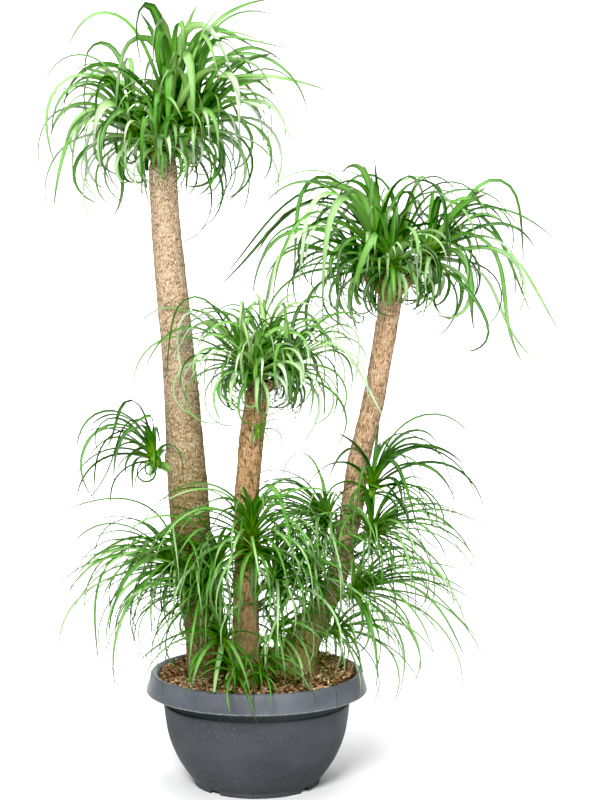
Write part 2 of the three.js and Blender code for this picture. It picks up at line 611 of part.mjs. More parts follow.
/**
 * Follows a leaf in equal steps. Its slope goes from rise to fall round the bend as a tanh step and curls on
 * towards the tip, its azimuth sweeps with the square of the way, and what would sink into the mulch or the
 * rim lies on it.
 */
function leafPath(leaf) {
  const ramp = (way) => Math.tanh((way - leaf.bend) / leaf.ease);
  const [start, end] = [ramp(0), ramp(1)];
  const place = leaf.from.clone();
  const stations = [];
  for (let step = 0; step <= LEAF_STEPS; step++) {
    const way = step / LEAF_STEPS;
    const bent = (ramp(way) - start) / (end - start);
    const slope = leaf.rise + (leaf.fall - leaf.rise) * bent - leaf.curl * way ** CURL_POWER;
    const azimuth = leaf.azimuth + leaf.sweep * way * way;
    const flat = new THREE.Vector3(Math.cos(azimuth), Math.sin(azimuth), 0);
    stations.push({
      way,
      point: place.clone(),
      side: new THREE.Vector3(-flat.y, flat.x, 0),
      upper: flat.clone().multiplyScalar(-Math.sin(slope)).setZ(Math.cos(slope)),
    });
    const outside = Math.hypot(place.x, place.y) >= RIM_RADIUS + RIM_ROOM && place.z < RIM_TOP;
    place.addScaledVector(flat, Math.cos(slope) * leaf.length / LEAF_STEPS);
    place.z += Math.sin(slope) * leaf.length / LEAF_STEPS;
    if (outside && Math.hypot(place.x, place.y) < RIM_RADIUS + RIM_ROOM) {
      const push = (RIM_RADIUS + RIM_ROOM) / Math.hypot(place.x, place.y);
      place.set(place.x * push, place.y * push, place.z);
    }
    place.z = Math.max(place.z, outside ? -Infinity : groundUnder(place));
  }
  return stations;
}

/** True where a leaf, past its foot, would run into a trunk. */
function meetsTrunk(stations) {
  return stations.some(({ way, point }) => way > CLEAR_FOOT && Object.values(trunkLines).some((line) => {
    if (point.z > line.top.centre.z || point.z < line.stations[0][2]) return false;
    const { centre, radius } = line.atHeight(point.z);
    return Math.hypot(point.x - centre.x, point.y - centre.y) < radius + TRUNK_ROOM;
  }));
}

/** Width along a leaf as a share: narrow at the foot, widest at a seventh, then a long taper to a thread. */
function widthShare(way) {
  const { foot, widest, power, end } = BLADE_TAPER;
  return (foot + (1 - foot) * Math.min(1, way / widest)) * (1 - way ** power) ** end;
}

/** A leaf's solid: a three-sided blade, flat above with a keel below, that ends in a point. */
function blade(leaf, stations, grow = 0) {
  const positions = [];
  const triangles = [];
  for (const station of BLADE_STATIONS) {
    const { way, point, side, upper } = stations[station];
    const half = (leaf.width * widthShare(way)) / 2 + grow;
    const keel = Math.max(KEEL_LEAST, 2 * half * KEEL_SHARE) + grow;
    const above = point.clone().addScaledVector(upper, grow);
    positions.push(
      ...above.clone().addScaledVector(side, half).toArray(),
      ...above.clone().addScaledVector(side, -half).toArray(),
      ...point.clone().addScaledVector(upper, -keel).toArray());
  }
  positions.push(...stations[LEAF_STEPS].point.toArray());
  const rings = BLADE_STATIONS.length;
  for (let ring = 0; ring < rings - 1; ring++) {
    for (let corner = 0; corner < 3; corner++) {
      const [a, b] = [ring * 3 + corner, ring * 3 + ((corner + 1) % 3)];
      triangles.push(a, b, b + 3, a, b + 3, a + 3);
    }
  }
  const [last, tip] = [(rings - 1) * 3, rings * 3];
  triangles.push(0, 2, 1, last, last + 1, tip, last + 1, last + 2, tip, last + 2, last, tip);
  return solid(geometryFrom(positions, triangles));
}

/**
 * Picks a head's leaves: its strays, turned a little where something is in the way, then its spiral. Strays
 * may meet each other where they root, and leaves of the spiral meet nothing but the core.
 */
function bladesOf(head, finished, taken = []) {
  const blades = [];
  const accept = (leaf, mayMeet) => {
    const stations = leafPath(leaf);
    if (meetsTrunk(stations)) return false;
    const room = blade(leaf, stations, CLEARANCE);
    if (finished.some((node) => !room.intersect(node).isEmpty())) return false;
    const made = blade(leaf, stations);
    if (!mayMeet && taken.some((other) => !made.intersect(other).isEmpty())) return false;
    taken.push(made);
    blades.push(made);
    return true;
  };
  for (const [index, row] of (head.strays ?? []).entries()) {
    const stray = strayOf(head, row, index);
    STRAY_TURNS.some((turn) => accept({ ...stray, azimuth: stray.azimuth + radians(turn) }, true));
  }
  let made = 0;
  for (let index = 0; index < head.leaves && made < head.made; index++) {
    if (accept(leafOf(head, (index * SPIRAL_STRIDE) % head.leaves), false)) made++;
  }
  return blades;
}

/** Radius of a head's core at its foot or tip. */
const coreRadius = (head, [share, more]) => head.width * share + more;

/** The short leafy stem that a head's leaves grow from. */
function coreOf(head) {
  const at = new THREE.Vector3(...head.at);
  const tip = at.clone().addScaledVector(axisOf(head), head.core);
  return bar(at, tip, coreRadius(head, CORE_THICK.foot), coreRadius(head, CORE_THICK.tip));
}

/** A crown: a low woody dome on the trunk's cut top, a stem to each head, and the heads' leaves. */
function crown({ trunk: host, made, heads }, finished) {
  const { centre, along, radius } = trunkLines[host].top;
  const seat = centre.clone().addScaledVector(along, SEAT_GAP);
  const { height, foot, top, stemFoot, stemTop } = CROWN_DOME;
  const peak = seat.clone().addScaledVector(along, height);
  const dome = bar(seat, peak, radius * foot, radius * top, TRUNK_SIDES);
  const taken = [];
  const parts = heads.flatMap((given) => {
    const head = { ...CROWN_LEAVES, made, ...given };
    const from = seat.clone().addScaledVector(along, STEM_REACH);
    const to = new THREE.Vector3(...head.at).addScaledVector(axisOf(head), STEM_REACH);
    return [bar(from, to, stemFoot, stemTop), coreOf(head), ...bladesOf(head, finished, taken)];
  });
  return wasm.Manifold.union([dome, ...parts]);
}

/** A shoot on a trunk's side: its stem, cut to the bark with a small gap, and its leaves. */
function shoot(given, finished) {
  const { centre, radius } = trunkLines[given.trunk].atHeight(given.height);
  const out = compass(given.side);
  const at = centre.clone().addScaledVector(out, radius + given.stem);
  const head = { ...SHOOT_LEAVES, ...given, at: at.toArray() };
  const thick = coreRadius(head, CORE_THICK.foot);
  const { sunk, drop, reach, foot } = SHOOT_STEM;
  const from = centre.clone().addScaledVector(out, radius - sunk).setZ(centre.z - given.stem * drop);
  const stem = bar(from, at.clone().addScaledVector(axisOf(head), reach), thick * foot, thick);
  return wasm.Manifold.union([stem, coreOf(head), ...bladesOf(head, finished)]);
}

// Assembly

const plant = new THREE.Group();

function place(name, made, material) {
  const mesh = new THREE.Mesh(geometryOf(made), material);
  mesh.name = name;
  plant.add(mesh);
}

const inside = cavity();
const trunkHoles = Object.keys(TRUNKS).map((name) => trunk(name, SEAT_GAP));
const bowlSolid = bowl();
const mulchSolid = mulch(inside, trunkHoles);
place("bowl", bowlSolid, MATERIALS.bowl);
place("potting_soil", soil(inside, trunkHoles), MATERIALS.soil);
place("bark_mulch", mulchSolid, MATERIALS.mulch);
for (const name of Object.keys(TRUNKS)) place(`trunk_${name}`, trunk(name, 0), MATERIALS.bark);

const finished = [bowlSolid, mulchSolid];
const trunkCuts = wasm.Manifold.union(trunkHoles);
function placeFoliage(name, made) {
  const body = largestBody(made.subtract(trunkCuts)).simplify(FACET_TOLERANCE);
  finished.push(body);
  place(name, body, MATERIALS.leaf);
}
for (const [name, given] of Object.entries(CROWNS)) placeFoliage(name, crown(given, finished));
for (const [name, given] of Object.entries(SHOOTS)) placeFoliage(name, shoot(given, finished));

export default plant;
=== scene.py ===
"""A branched ponytail palm in a wide plastic bowl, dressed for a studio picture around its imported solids.

Metres, +Z up, the origin at the centre of the bowl's base. The front is -Y and the right is +X. Compass angles
are in degrees from +X towards +Y, so 270 is the front. Each piece replaces the CAD node that it is named for
and keeps that node's place and form, with every leaf, chip and ridge that the solids only suggest.
"""

from __future__ import annotations

import logging
import math
from collections.abc import Callable
from dataclasses import dataclass, field, fields
from enum import Enum, IntEnum
from typing import ClassVar

import bmesh
import bpy
import numpy as np
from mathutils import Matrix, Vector


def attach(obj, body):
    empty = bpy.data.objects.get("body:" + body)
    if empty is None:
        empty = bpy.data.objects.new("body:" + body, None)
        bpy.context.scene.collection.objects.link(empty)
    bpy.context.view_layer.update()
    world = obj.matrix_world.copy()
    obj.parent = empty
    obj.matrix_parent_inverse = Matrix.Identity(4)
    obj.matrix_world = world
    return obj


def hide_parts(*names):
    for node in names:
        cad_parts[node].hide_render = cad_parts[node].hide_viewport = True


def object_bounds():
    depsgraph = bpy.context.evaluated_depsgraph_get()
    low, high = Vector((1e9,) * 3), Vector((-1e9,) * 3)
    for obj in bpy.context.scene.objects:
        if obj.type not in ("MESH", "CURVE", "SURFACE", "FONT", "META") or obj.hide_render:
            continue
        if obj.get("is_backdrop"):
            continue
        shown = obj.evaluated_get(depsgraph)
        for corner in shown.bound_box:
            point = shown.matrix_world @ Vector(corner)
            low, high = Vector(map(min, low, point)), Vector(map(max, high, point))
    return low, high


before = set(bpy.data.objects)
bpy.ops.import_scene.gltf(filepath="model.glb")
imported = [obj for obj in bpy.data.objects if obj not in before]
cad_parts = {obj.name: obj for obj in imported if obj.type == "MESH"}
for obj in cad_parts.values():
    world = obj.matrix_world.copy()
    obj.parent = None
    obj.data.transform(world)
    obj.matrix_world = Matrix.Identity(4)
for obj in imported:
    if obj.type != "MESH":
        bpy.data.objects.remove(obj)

Array = np.ndarray
Socket = bpy.types.NodeSocket
Triple = tuple[float, float, float]
Colour = tuple[float, float, float]
Stops = tuple[tuple[float, Colour], ...]
Rows = tuple[tuple[float, ...], ...]

LOG = logging.getLogger("ponytail_palm")
BODY = "root"
FULL_TURN = 2 * math.pi
UP = np.array([0.0, 0.0, 1.0])
BACK = np.array([0.0, 1.0, 0.0])


# Maths


def unit(vectors: Array) -> Array:
    """Vectors divided by their own lengths."""
    return vectors / np.maximum(np.linalg.norm(vectors, axis=-1, keepdims=True), 1e-12)


def compass(degrees: Array | float) -> Array:
    """The level unit vector (cos a, sin a, 0) of a compass angle."""
    angle = np.radians(degrees)
    return np.stack([np.cos(angle), np.sin(angle), np.zeros_like(angle)], axis=-1)


def round_turn(count: int) -> Array:
    """So many even angles once round, in radians from 0."""
    return np.linspace(0, FULL_TURN, count, endpoint=False)


def circles(turn: Array, u: Array, v: Array) -> Array:
    """Unit circles cos t u + sin t v, one for each row of u and v, as circle by angle by 3."""
    return np.cos(turn)[None, :, None] * u[:, None] + np.sin(turn)[None, :, None] * v[:, None]


def smooth_step(value: Array, start: float, end: float) -> Array:
    """0 before start, 1 after end, and 3t^2 - 2t^3 between them."""
    t = np.clip((value - start) / (end - start), 0, 1)
    return t * t * (3 - 2 * t)


def shuffled(number: Array) -> Array:
    """A repeatable number from 0 to 1: the fraction of 43758.5453 times the sine of the number given."""
    large = np.sin(number) * 43758.5453
    return large - np.floor(large)


def draw(seed: int, leaf: Array, use: int) -> Array:
    """A repeatable number from 0 to 1 for each leaf and use: 12.9898 seed + 78.233 leaf + 37.719 use, shuffled."""
    return shuffled(seed * 12.9898 + leaf * 78.233 + use * 37.719)


def lattice(cells: Array) -> Array:
    """A repeatable number from 0 to 1 for each whole-numbered cell: its shuffled sum of 127.1 x, 311.7 y, 74.7 z."""
    return shuffled(cells @ np.array([127.1, 311.7, 74.7]))


def value_noise(points: Array) -> Array:
    """Smooth noise from -1 to 1: the eight lattice values round a point, blended with 3t^2 - 2t^3 on each axis.

    Args:
        points: places in cells of the lattice, with x, y, z last.

    Returns:
        One value for each point.
    """
    cell = np.floor(points)
    t = points - cell
    t = t * t * (3 - 2 * t)
    total = np.zeros(points.shape[:-1])
    for corner in np.ndindex(2, 2, 2):
        weight = np.prod(np.where(np.array(corner) == 1, t, 1 - t), axis=-1)
        total += weight * lattice(cell + np.array(corner))
    return 2 * total - 1


def fractal(points: Array, octaves: int) -> Array:
    """Octaves of value noise, each at twice the scale and half the strength of the one before."""
    return sum(value_noise(points * 2**k + 17.3 * k) / 2**k for k in range(octaves))


def through(points: Array, share: Array) -> tuple[Array, Array]:
    """A uniform Catmull-Rom curve: the cubic through each pair of points whose slopes are half the span of the
    points on either side, with the end points mirrored.

    Args:
        points: the curve's points, one a row.
        share: places along the curve from 0 to 1, even in points.

    Returns:
        The places on the curve and its slopes there.
    """
    padded = np.concatenate([[2 * points[0] - points[1]], points, [2 * points[-1] - points[-2]]])
    place = share * (len(points) - 1)
    index = np.clip(np.floor(place).astype(int), 0, len(points) - 2)
    t = (place - index)[:, None]
    before, start, end, after = (padded[index + k] for k in range(4))
    m0, m1 = (end - before) / 2, (after - start) / 2
    a, b = 2 * start - 2 * end + m0 + m1, -3 * start + 3 * end - 2 * m0 - m1
    return ((a * t + b) * t + m0) * t + start, (3 * a * t + 2 * b) * t + m0


# Meshes

MESH_VALUES = {"tone": 1, "way": 1, "across": 1, "hang_sheen": 1, "grain": 3}
POLE_GAP = 1e-6


@dataclass
class Patch:
    """Points and quads with what the finishes read at each point.

    tone is a repeatable number of the leaf or chip, and on a trunk how deep in a scar the point lies. way is the
    place along a leaf, across runs from -1 to 1 over it and hang is how far it has folded over, which is its share
    of painted sheen. grain is the place in straightened bark, and edge is 1 or 2 on a blade's two sharp edges.
    """

    points: Array
    quads: Array
    tone: Array | None = None
    way: Array | None = None
    across: Array | None = None
    hang_sheen: Array | None = None
    grain: Array | None = None
    edge: Array | None = None
    slot: int = 0

    def filled(self, name: str) -> Array:
        """One of the point values as a row for each point, or zeros where the patch has none."""
        value, shape = getattr(self, name), (len(self.points), MESH_VALUES.get(name, 1))
        return np.zeros(shape) if value is None else np.asarray(value, float).reshape(shape)


def grid_quads(rows: int, columns: int, closed: bool) -> Array:
    """Quads of a grid whose points are stored row by row.

    Args:
        rows: how many rows of points there are.
        columns: how many points are in a row.
        closed: whether each row is a ring.

    Returns:
        Four point numbers for each quad.
    """
    row, column = np.meshgrid(np.arange(rows - 1), np.arange(columns - (not closed)), indexing="ij")
    here, above, after = row * columns, (row + 1) * columns, (column + 1) % columns
    return np.stack([here + column, here + after, above + after, above + column], axis=-1).reshape(-1, 4)


def join(patches: list[Patch]) -> tuple[Patch, Array]:
    """Several patches as one.

    Args:
        patches: the patches, whose quads count from their own first points.

    Returns:
        One patch, and the material slot of each of its quads.
    """
    starts = np.cumsum([0] + [len(p.points) for p in patches[:-1]])
    one = Patch(
        points=np.concatenate([p.points for p in patches]),
        quads=np.concatenate([p.quads + start for p, start in zip(patches, starts)]),
        **{name: np.concatenate([p.filled(name) for p in patches]) for name in (*MESH_VALUES, "edge")},
    )
    return one, np.concatenate([np.full(len(p.quads), p.slot) for p in patches])


def close_poles(mesh: bpy.types.Mesh) -> None:
    """Merges the points that share a place, so that a pole is one point.

    Args:
        mesh: the mesh, changed in place.
    """
    work = bmesh.new()
    work.from_mesh(mesh)
    bmesh.ops.remove_doubles(work, verts=work.verts, dist=POLE_GAP)
    work.to_mesh(mesh)
    work.free()


def piece(name: str, patches: list[Patch], materials: list[bpy.types.Material]) -> bpy.types.Object:
    """Makes one smooth-shaded object of patches, with closed poles, and puts it on the body.

    Args:
        name: the object's name.
        patches: what it is made of; every quad faces outwards.
        materials: one for each slot that the patches name.

    Returns:
        The object, at the origin.
    """
    one, slots = join(patches)
    mesh = bpy.data.meshes.new(name)
    mesh.vertices.add(len(one.points))
    mesh.vertices.foreach_set("co", one.points.astype(np.float32).ravel())
    mesh.loops.add(one.quads.size)
    mesh.loops.foreach_set("vertex_index", one.quads.astype(np.int32).ravel())
    mesh.polygons.add(len(one.quads))
    mesh.polygons.foreach_set("loop_start", np.arange(0, one.quads.size, 4, dtype=np.int32))
    mesh.polygons.foreach_set("material_index", slots.astype(np.int32))
    mesh.update(calc_edges=True)
    for label, width in MESH_VALUES.items():
        kind, entry = ("FLOAT", "value") if width == 1 else ("FLOAT_VECTOR", "vector")
        values = one.filled(label).astype(np.float32).ravel()
        mesh.attributes.new(label, kind, "POINT").data.foreach_set(entry, values)
    mesh.polygons.foreach_set("use_smooth", np.ones(len(mesh.polygons), bool))
    ends = np.empty(len(mesh.edges) * 2, np.int32)
    mesh.edges.foreach_get("vertices", ends)
    first, second = one.filled("edge").ravel()[ends.reshape(-1, 2)].T
    mesh.edges.foreach_set("use_edge_sharp", (first > 0) & (first == second))
    for material in materials:
        mesh.materials.append(material)
    close_poles(mesh)
    mesh.validate()
    made = bpy.data.objects.new(name, mesh)
    bpy.context.scene.collection.objects.link(made)
    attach(made, BODY)
    LOG.info("%s: %d faces", name, len(mesh.polygons))
    return made


def tube(centres: Array, radii: Array, sides: int) -> Patch:
    """A closed round tube: each ring is centre + r (cos t u + sin t v), with u and v square to the way on.

    Args:
        centres: the rings' centres, one a row, not along Y.
        radii: the rings' radii.
        sides: how many points a ring has.

    Returns:
        The tube, with both ends drawn in to a point.
    """
    along = unit(np.gradient(centres, axis=0))
    u = unit(np.cross(np.array([0.0, 1.0, 0.01]), along))
    v = np.cross(along, u)
    centres, u, v = (np.concatenate([rows[:1], rows, rows[-1:]]) for rows in (centres, u, v))
    radii = np.concatenate([[1e-7], radii, [1e-7]])
    points = centres[:, None] + radii[:, None, None] * circles(round_turn(sides), u, v)
    return Patch(points.reshape(-1, 3), grid_quads(len(centres), sides, closed=True))


# Finishes


class NodeTree:
    """A material's nodes, added by what they do. Calls take sockets or plain values and give sockets."""

    def __init__(self, name: str) -> None:
        """Starts a material with one Principled shader.

        Args:
            name: the material's name.
        """
        self.material = bpy.data.materials.new(name)
        self.material.use_nodes = True
        self.tree = self.material.node_tree
        self.shader = self.tree.nodes["Principled BSDF"]

    def feed(self, socket: Socket, value: object) -> None:
        """Links or sets one input.

        Args:
            socket: the input.
            value: a socket, which is linked, or else the value that the input gets.
        """
        if isinstance(value, bpy.types.NodeSocket):
            self.tree.links.new(value, socket)
        else:
            socket.default_value = value

    def add(self, kind: str, **inputs: object) -> bpy.types.Node:
        """Adds a node.

        Args:
            kind: its kind, as Blender names it.
            inputs: what its inputs get, by name, with _ for a space.

        Returns:
            The node.
        """
        node = self.tree.nodes.new(kind)
        for name, value in inputs.items():
            self.feed(node.inputs[name.replace("_", " ")], value)
        return node

    def place(self) -> Socket:
        """The piece's Object coordinates."""
        return self.add("ShaderNodeTexCoord").outputs["Object"]

    def height(self) -> Socket:
        """The height over the floor, which is Z of the Object coordinates."""
        return self.add("ShaderNodeSeparateXYZ", Vector=self.place()).outputs["Z"]

    def carried(self, name: str, output: str = "Fac") -> Socket:
        """What the mesh carries at each point.

        Args:
            name: the name that it is stored under.
            output: "Fac" for a number, "Vector" for a vector.

        Returns:
            The value's socket.
        """
        node = self.add("ShaderNodeAttribute")
        node.attribute_name = name
        return node.outputs[output]

    def stretched(self, vector: Socket, scale: Triple) -> Socket:
        """A vector scaled on each axis."""
        return self.add("ShaderNodeMapping", Vector=vector, Scale=scale).outputs["Vector"]

    def noise(self, vector: Socket, scale: float | Triple, detail: float) -> Socket:
        """Fractal noise about 0.5.

        Args:
            vector: where it is read.
            scale: its cells to a unit of the vector, one number or one for each axis.
            detail: how many octaves it has.

        Returns:
            The noise's socket.
        """
        if isinstance(scale, tuple):
            vector, scale = self.stretched(vector, scale), 1.0
        return self.add("ShaderNodeTexNoise", Vector=vector, Scale=scale, Detail=detail).outputs["Fac"]

    def cells(self, vector: Socket, scale: Triple) -> Socket:
        """The distance to the edge of the nearest cell.

        Args:
            vector: where it is read.
            scale: cells to a unit of the vector on each axis.

        Returns:
            The distance's socket.
        """
        node = self.add("ShaderNodeTexVoronoi", Vector=self.stretched(vector, scale), Scale=1.0)
        node.feature = "DISTANCE_TO_EDGE"
        return node.outputs["Distance"]

    def sums(self, how: str, a: object, b: object = 0.0) -> Socket:
        """One step of arithmetic.

        Args:
            how: the step, as Blender names it.
            a: the first number.
            b: the second number, where the step has one.

        Returns:
            The result's socket.
        """
        node = self.tree.nodes.new("ShaderNodeMath")
        node.operation = how
        self.feed(node.inputs[0], a)
        self.feed(node.inputs[1], b)
        return node.outputs[0]

    def plus(self, a: object, b: object) -> Socket:
        """a + b."""
        return self.sums("ADD", a, b)

    def times(self, a: object, b: object) -> Socket:
        """a times b."""
        return self.sums("MULTIPLY", a, b)

    def swing(self, noise: Socket, weight: float) -> Socket:
        """A noise's swing about 0.5, times a weight."""
        return self.times(self.sums("SUBTRACT", noise, 0.5), weight)

    def spread(self, value: object, low: float, high: float, start: float = 0.0, end: float = 1.0) -> Socket:
        """A value's range drawn smoothly over another: start at low and before, end at high and after.

        Args:
            value: the number.
            low: where it starts to tell. It may be more than high.
            high: where it no longer tells.
            start: what low gives.
            end: what high gives.

        Returns:
            The result's socket.
        """
        node = self.tree.nodes.new("ShaderNodeMapRange")
        node.interpolation_type = "SMOOTHSTEP"
        for socket, given in zip(node.inputs, (value, low, high, start, end)):
            self.feed(socket, given)
        return node.outputs["Result"]

    def ramp(self, value: object, stops: Stops) -> Socket:
        """Colours along a value.

        Args:
            value: the number.
            stops: the value and the colour of each stop, from the least up.

        Returns:
            The colour's socket.
        """
        node = self.add("ShaderNodeValToRGB", Fac=value)
        band = node.color_ramp
        while len(band.elements) < len(stops):
            band.elements.new(0.5)
        for element, (position, colour) in zip(band.elements, stops):
            element.position = position
            element.color = (*colour, 1.0)
        return node.outputs["Color"]

    def mix(self, share: object, a: object, b: object) -> Socket:
        """Colour a turning to b as share goes from 0 to 1.

        Args:
            share: the number.
            a: the first colour.
            b: the second colour.

        Returns:
            The colour's socket.
        """
        node = self.tree.nodes.new("ShaderNodeMix")
        node.data_type = "RGBA"
        self.feed(node.inputs["Factor"], share)
        for name, colour in (("A", a), ("B", b)):
            socket = next(s for s in node.inputs if s.name == name and s.type == "RGBA")
            self.feed(socket, (*colour, 1.0) if isinstance(colour, tuple) else colour)
        return next(s for s in node.outputs if s.type == "RGBA")

    def bump(self, height: Socket, distance: float, strength: float) -> None:
        """Gives the shader relief from a height of 0 to 1: its depth in metres, and how much of it is felt."""
        node = self.add("ShaderNodeBump", Height=height, Distance=distance, Strength=strength)
        self.tree.links.new(node.outputs["Normal"], self.shader.inputs["Normal"])

    def finish(self, colour: object, roughness: object, specular: float) -> bpy.types.Material:
        """Feeds the shader.

        Args:
            colour: the base colour.
            roughness: the roughness.
            specular: the specular level.

        Returns:
            The material.
        """
        self.feed(self.shader.inputs["Base Color"], colour)
        self.feed(self.shader.inputs["Roughness"], roughness)
        self.shader.inputs["Specular IOR Level"].default_value = specular
        return self.material


@dataclass(frozen=True)
class PlasticFinish:
    """Dark moulded plastic: faint speckle, dust that gathers in patches, and a pale line along the rim's lower edge
    that is painted highlight broken up by scuffs.

    Scales are in cells to a metre, and heights and relief in metres. The rim's band starts from rim_from up to
    rim_edge, which is the rim's lower edge.
    """

    name: str = "anthracite_plastic"
    face: Colour = (0.050, 0.050, 0.061)
    dark: Colour = (0.036, 0.034, 0.042)
    band: Colour = (0.100, 0.112, 0.131)
    pale: Colour = (0.110, 0.106, 0.124)
    dust: Colour = (0.16, 0.145, 0.13)
    worn_and_highlight: Colour = (0.22, 0.225, 0.235)
    cloud_scale: Triple = (5.0, 5.0, 9.0)
    speckle_scale: float = 420.0
    speck_scale: float = 190.0
    rim_from: float = 0.210
    rim_edge: float = 0.215
    dusty_foot: float = 0.06
    relief: float = 0.0004

    def material(self) -> bpy.types.Material:
        """Colour is face mixed with dark by clouds, the rim's band over them, then pale by speckle, dust by specks
        and near the foot, and a pale line along the rim's lower edge, which is painted highlight with scuffs.

        Returns:
            The material.
        """
        nodes = NodeTree(self.name)
        place, height = nodes.place(), nodes.height()
        clouds = nodes.noise(place, self.cloud_scale, 4.0)
        speckle = nodes.noise(place, self.speckle_scale, 2.0)
        specks = nodes.noise(place, self.speck_scale, 3.0)
        body = nodes.mix(nodes.spread(clouds, 0.35, 0.68), self.face, self.dark)
        band = nodes.mix(nodes.spread(clouds, 0.42, 0.8), self.band, self.face)
        on_rim = nodes.spread(height, self.rim_from, self.rim_edge)
        colour = nodes.mix(on_rim, body, band)
        colour = nodes.mix(nodes.spread(speckle, 0.5, 0.78, 0.0, 0.55), colour, self.pale)
        dust = nodes.times(nodes.spread(specks, 0.66, 0.74), nodes.spread(clouds, 0.3, 0.7, 0.25, 0.75))
        colour = nodes.mix(dust, colour, self.dust)
        foot = nodes.spread(height, self.dusty_foot, 0.0, 0.0, 0.16)
        colour = nodes.mix(nodes.times(foot, nodes.spread(speckle, 0.35, 0.7)), colour, self.dust)
        # A pale line along the rim's lower edge: painted highlight on its corner, broken up by specks of scuffing.
        off_edge = nodes.sums("ABSOLUTE", nodes.sums("SUBTRACT", height, self.rim_edge))
        scuff_and_highlight = nodes.times(nodes.spread(off_edge, 0.0032, 0.0006), nodes.spread(specks, 0.42, 0.62, 0.25, 1.0))
        colour = nodes.mix(scuff_and_highlight, colour, self.worn_and_highlight)
        nodes.bump(nodes.plus(speckle, nodes.times(specks, 0.6)), self.relief, 0.35)
        rough = nodes.plus(nodes.spread(clouds, 0.3, 0.75, 0.46, 0.60), nodes.times(on_rim, -0.18))
        return nodes.finish(colour, rough, 0.1)


class BarkLook(Enum):
    """How a trunk's bark looks: pale and netted, warm and finely grooved, or grey-brown and cracked.

    Each look's value is the scale of its cracks, its cross rows and its flecks, in cells to a metre round the
    trunk, round it again and along it.
    """

    NETTED = ((280.0, 280.0, 170.0), (40.0, 40.0, 190.0), (220.0, 220.0, 150.0))
    GROOVED = ((380.0, 380.0, 50.0), (70.0, 70.0, 130.0), (150.0, 150.0, 85.0))
    CRACKED = ((270.0, 270.0, 90.0), (60.0, 60.0, 150.0), (210.0, 210.0, 80.0))


@dataclass(frozen=True)
class BarkFinish:
    """Corky bark in its own straightened coordinates: short upright cracks between pale plates, darker and
    greener towards the foot, and dark in the scars.

    foot_from and foot_to are the heights between which the foot's colour fades out, and a share is how strongly
    moss or flecks show.
    """

    name: str
    look: BarkLook
    plate: Colour
    middle: Colour
    crack: Colour
    foot: Colour
    foot_from: float
    foot_to: float
    moss_share: float
    moss: Colour = (0.085, 0.105, 0.022)
    fleck: Colour = (0.66, 0.53, 0.42)
    fleck_share: float = 0.8
    scar: Colour = (0.045, 0.024, 0.010)
    fine_scale: Triple = (480.0, 480.0, 190.0)
    patch_scale: Triple = (14.0, 14.0, 6.0)
    net_scale: Triple = (135.0, 135.0, 115.0)
    relief: float = 0.006

    def material(self) -> bpy.types.Material:
        """Colour is crack to middle to plate by the relief of stretched noise, then mixed with foot and moss by
        height, with fleck by spots and with scar where the mesh says so.

        Returns:
            The material.
        """
        nodes = NodeTree(self.name)
        grain = nodes.carried("grain", "Vector")
        cracks, rows, flecks = (nodes.noise(grain, scale, 2.5) for scale in self.look.value)
        fine = nodes.noise(grain, self.fine_scale, 2.0)
        patches = nodes.noise(grain, self.patch_scale, 3.0)
        relief = nodes.plus(nodes.times(cracks, 0.6), nodes.times(rows, 0.4))
        relief = nodes.plus(relief, nodes.swing(fine, 0.42))
        if self.look is BarkLook.NETTED:
            relief = nodes.plus(relief, nodes.spread(nodes.cells(grain, self.net_scale), 0.0, 0.26, -0.05, 0.045))
        colour = nodes.ramp(relief, ((0.37, self.crack), (0.455, self.middle), (0.57, self.plate)))
        low = nodes.spread(nodes.plus(nodes.height(), nodes.swing(patches, 0.55)), self.foot_to, self.foot_from)
        colour = nodes.mix(nodes.times(low, nodes.spread(relief, 0.70, 0.42, 0.45, 0.98)), colour, self.foot)
        green = nodes.times(nodes.spread(patches, 0.46, 0.64), low)
        green = nodes.times(green, nodes.spread(fine, 0.35, 0.65, 0.3, self.moss_share))
        colour = nodes.mix(green, colour, self.moss)
        spots = nodes.times(nodes.spread(flecks, 0.56, 0.66), nodes.spread(fine, 0.35, 0.6, 0.2, 1.0))
        spots = nodes.times(spots, nodes.spread(low, 0.0, 1.0, 1.0, 0.3))
        colour = nodes.mix(nodes.times(spots, self.fleck_share), colour, self.fleck)
        colour = nodes.mix(nodes.spread(nodes.carried("tone"), 0.25, 0.75, 0.0, 0.9), colour, self.scar)
        nodes.bump(nodes.plus(relief, nodes.times(spots, 0.12)), self.relief, 0.9)
        return nodes.finish(colour, nodes.spread(relief, 0.3, 0.7, 0.95, 0.74), 0.25)


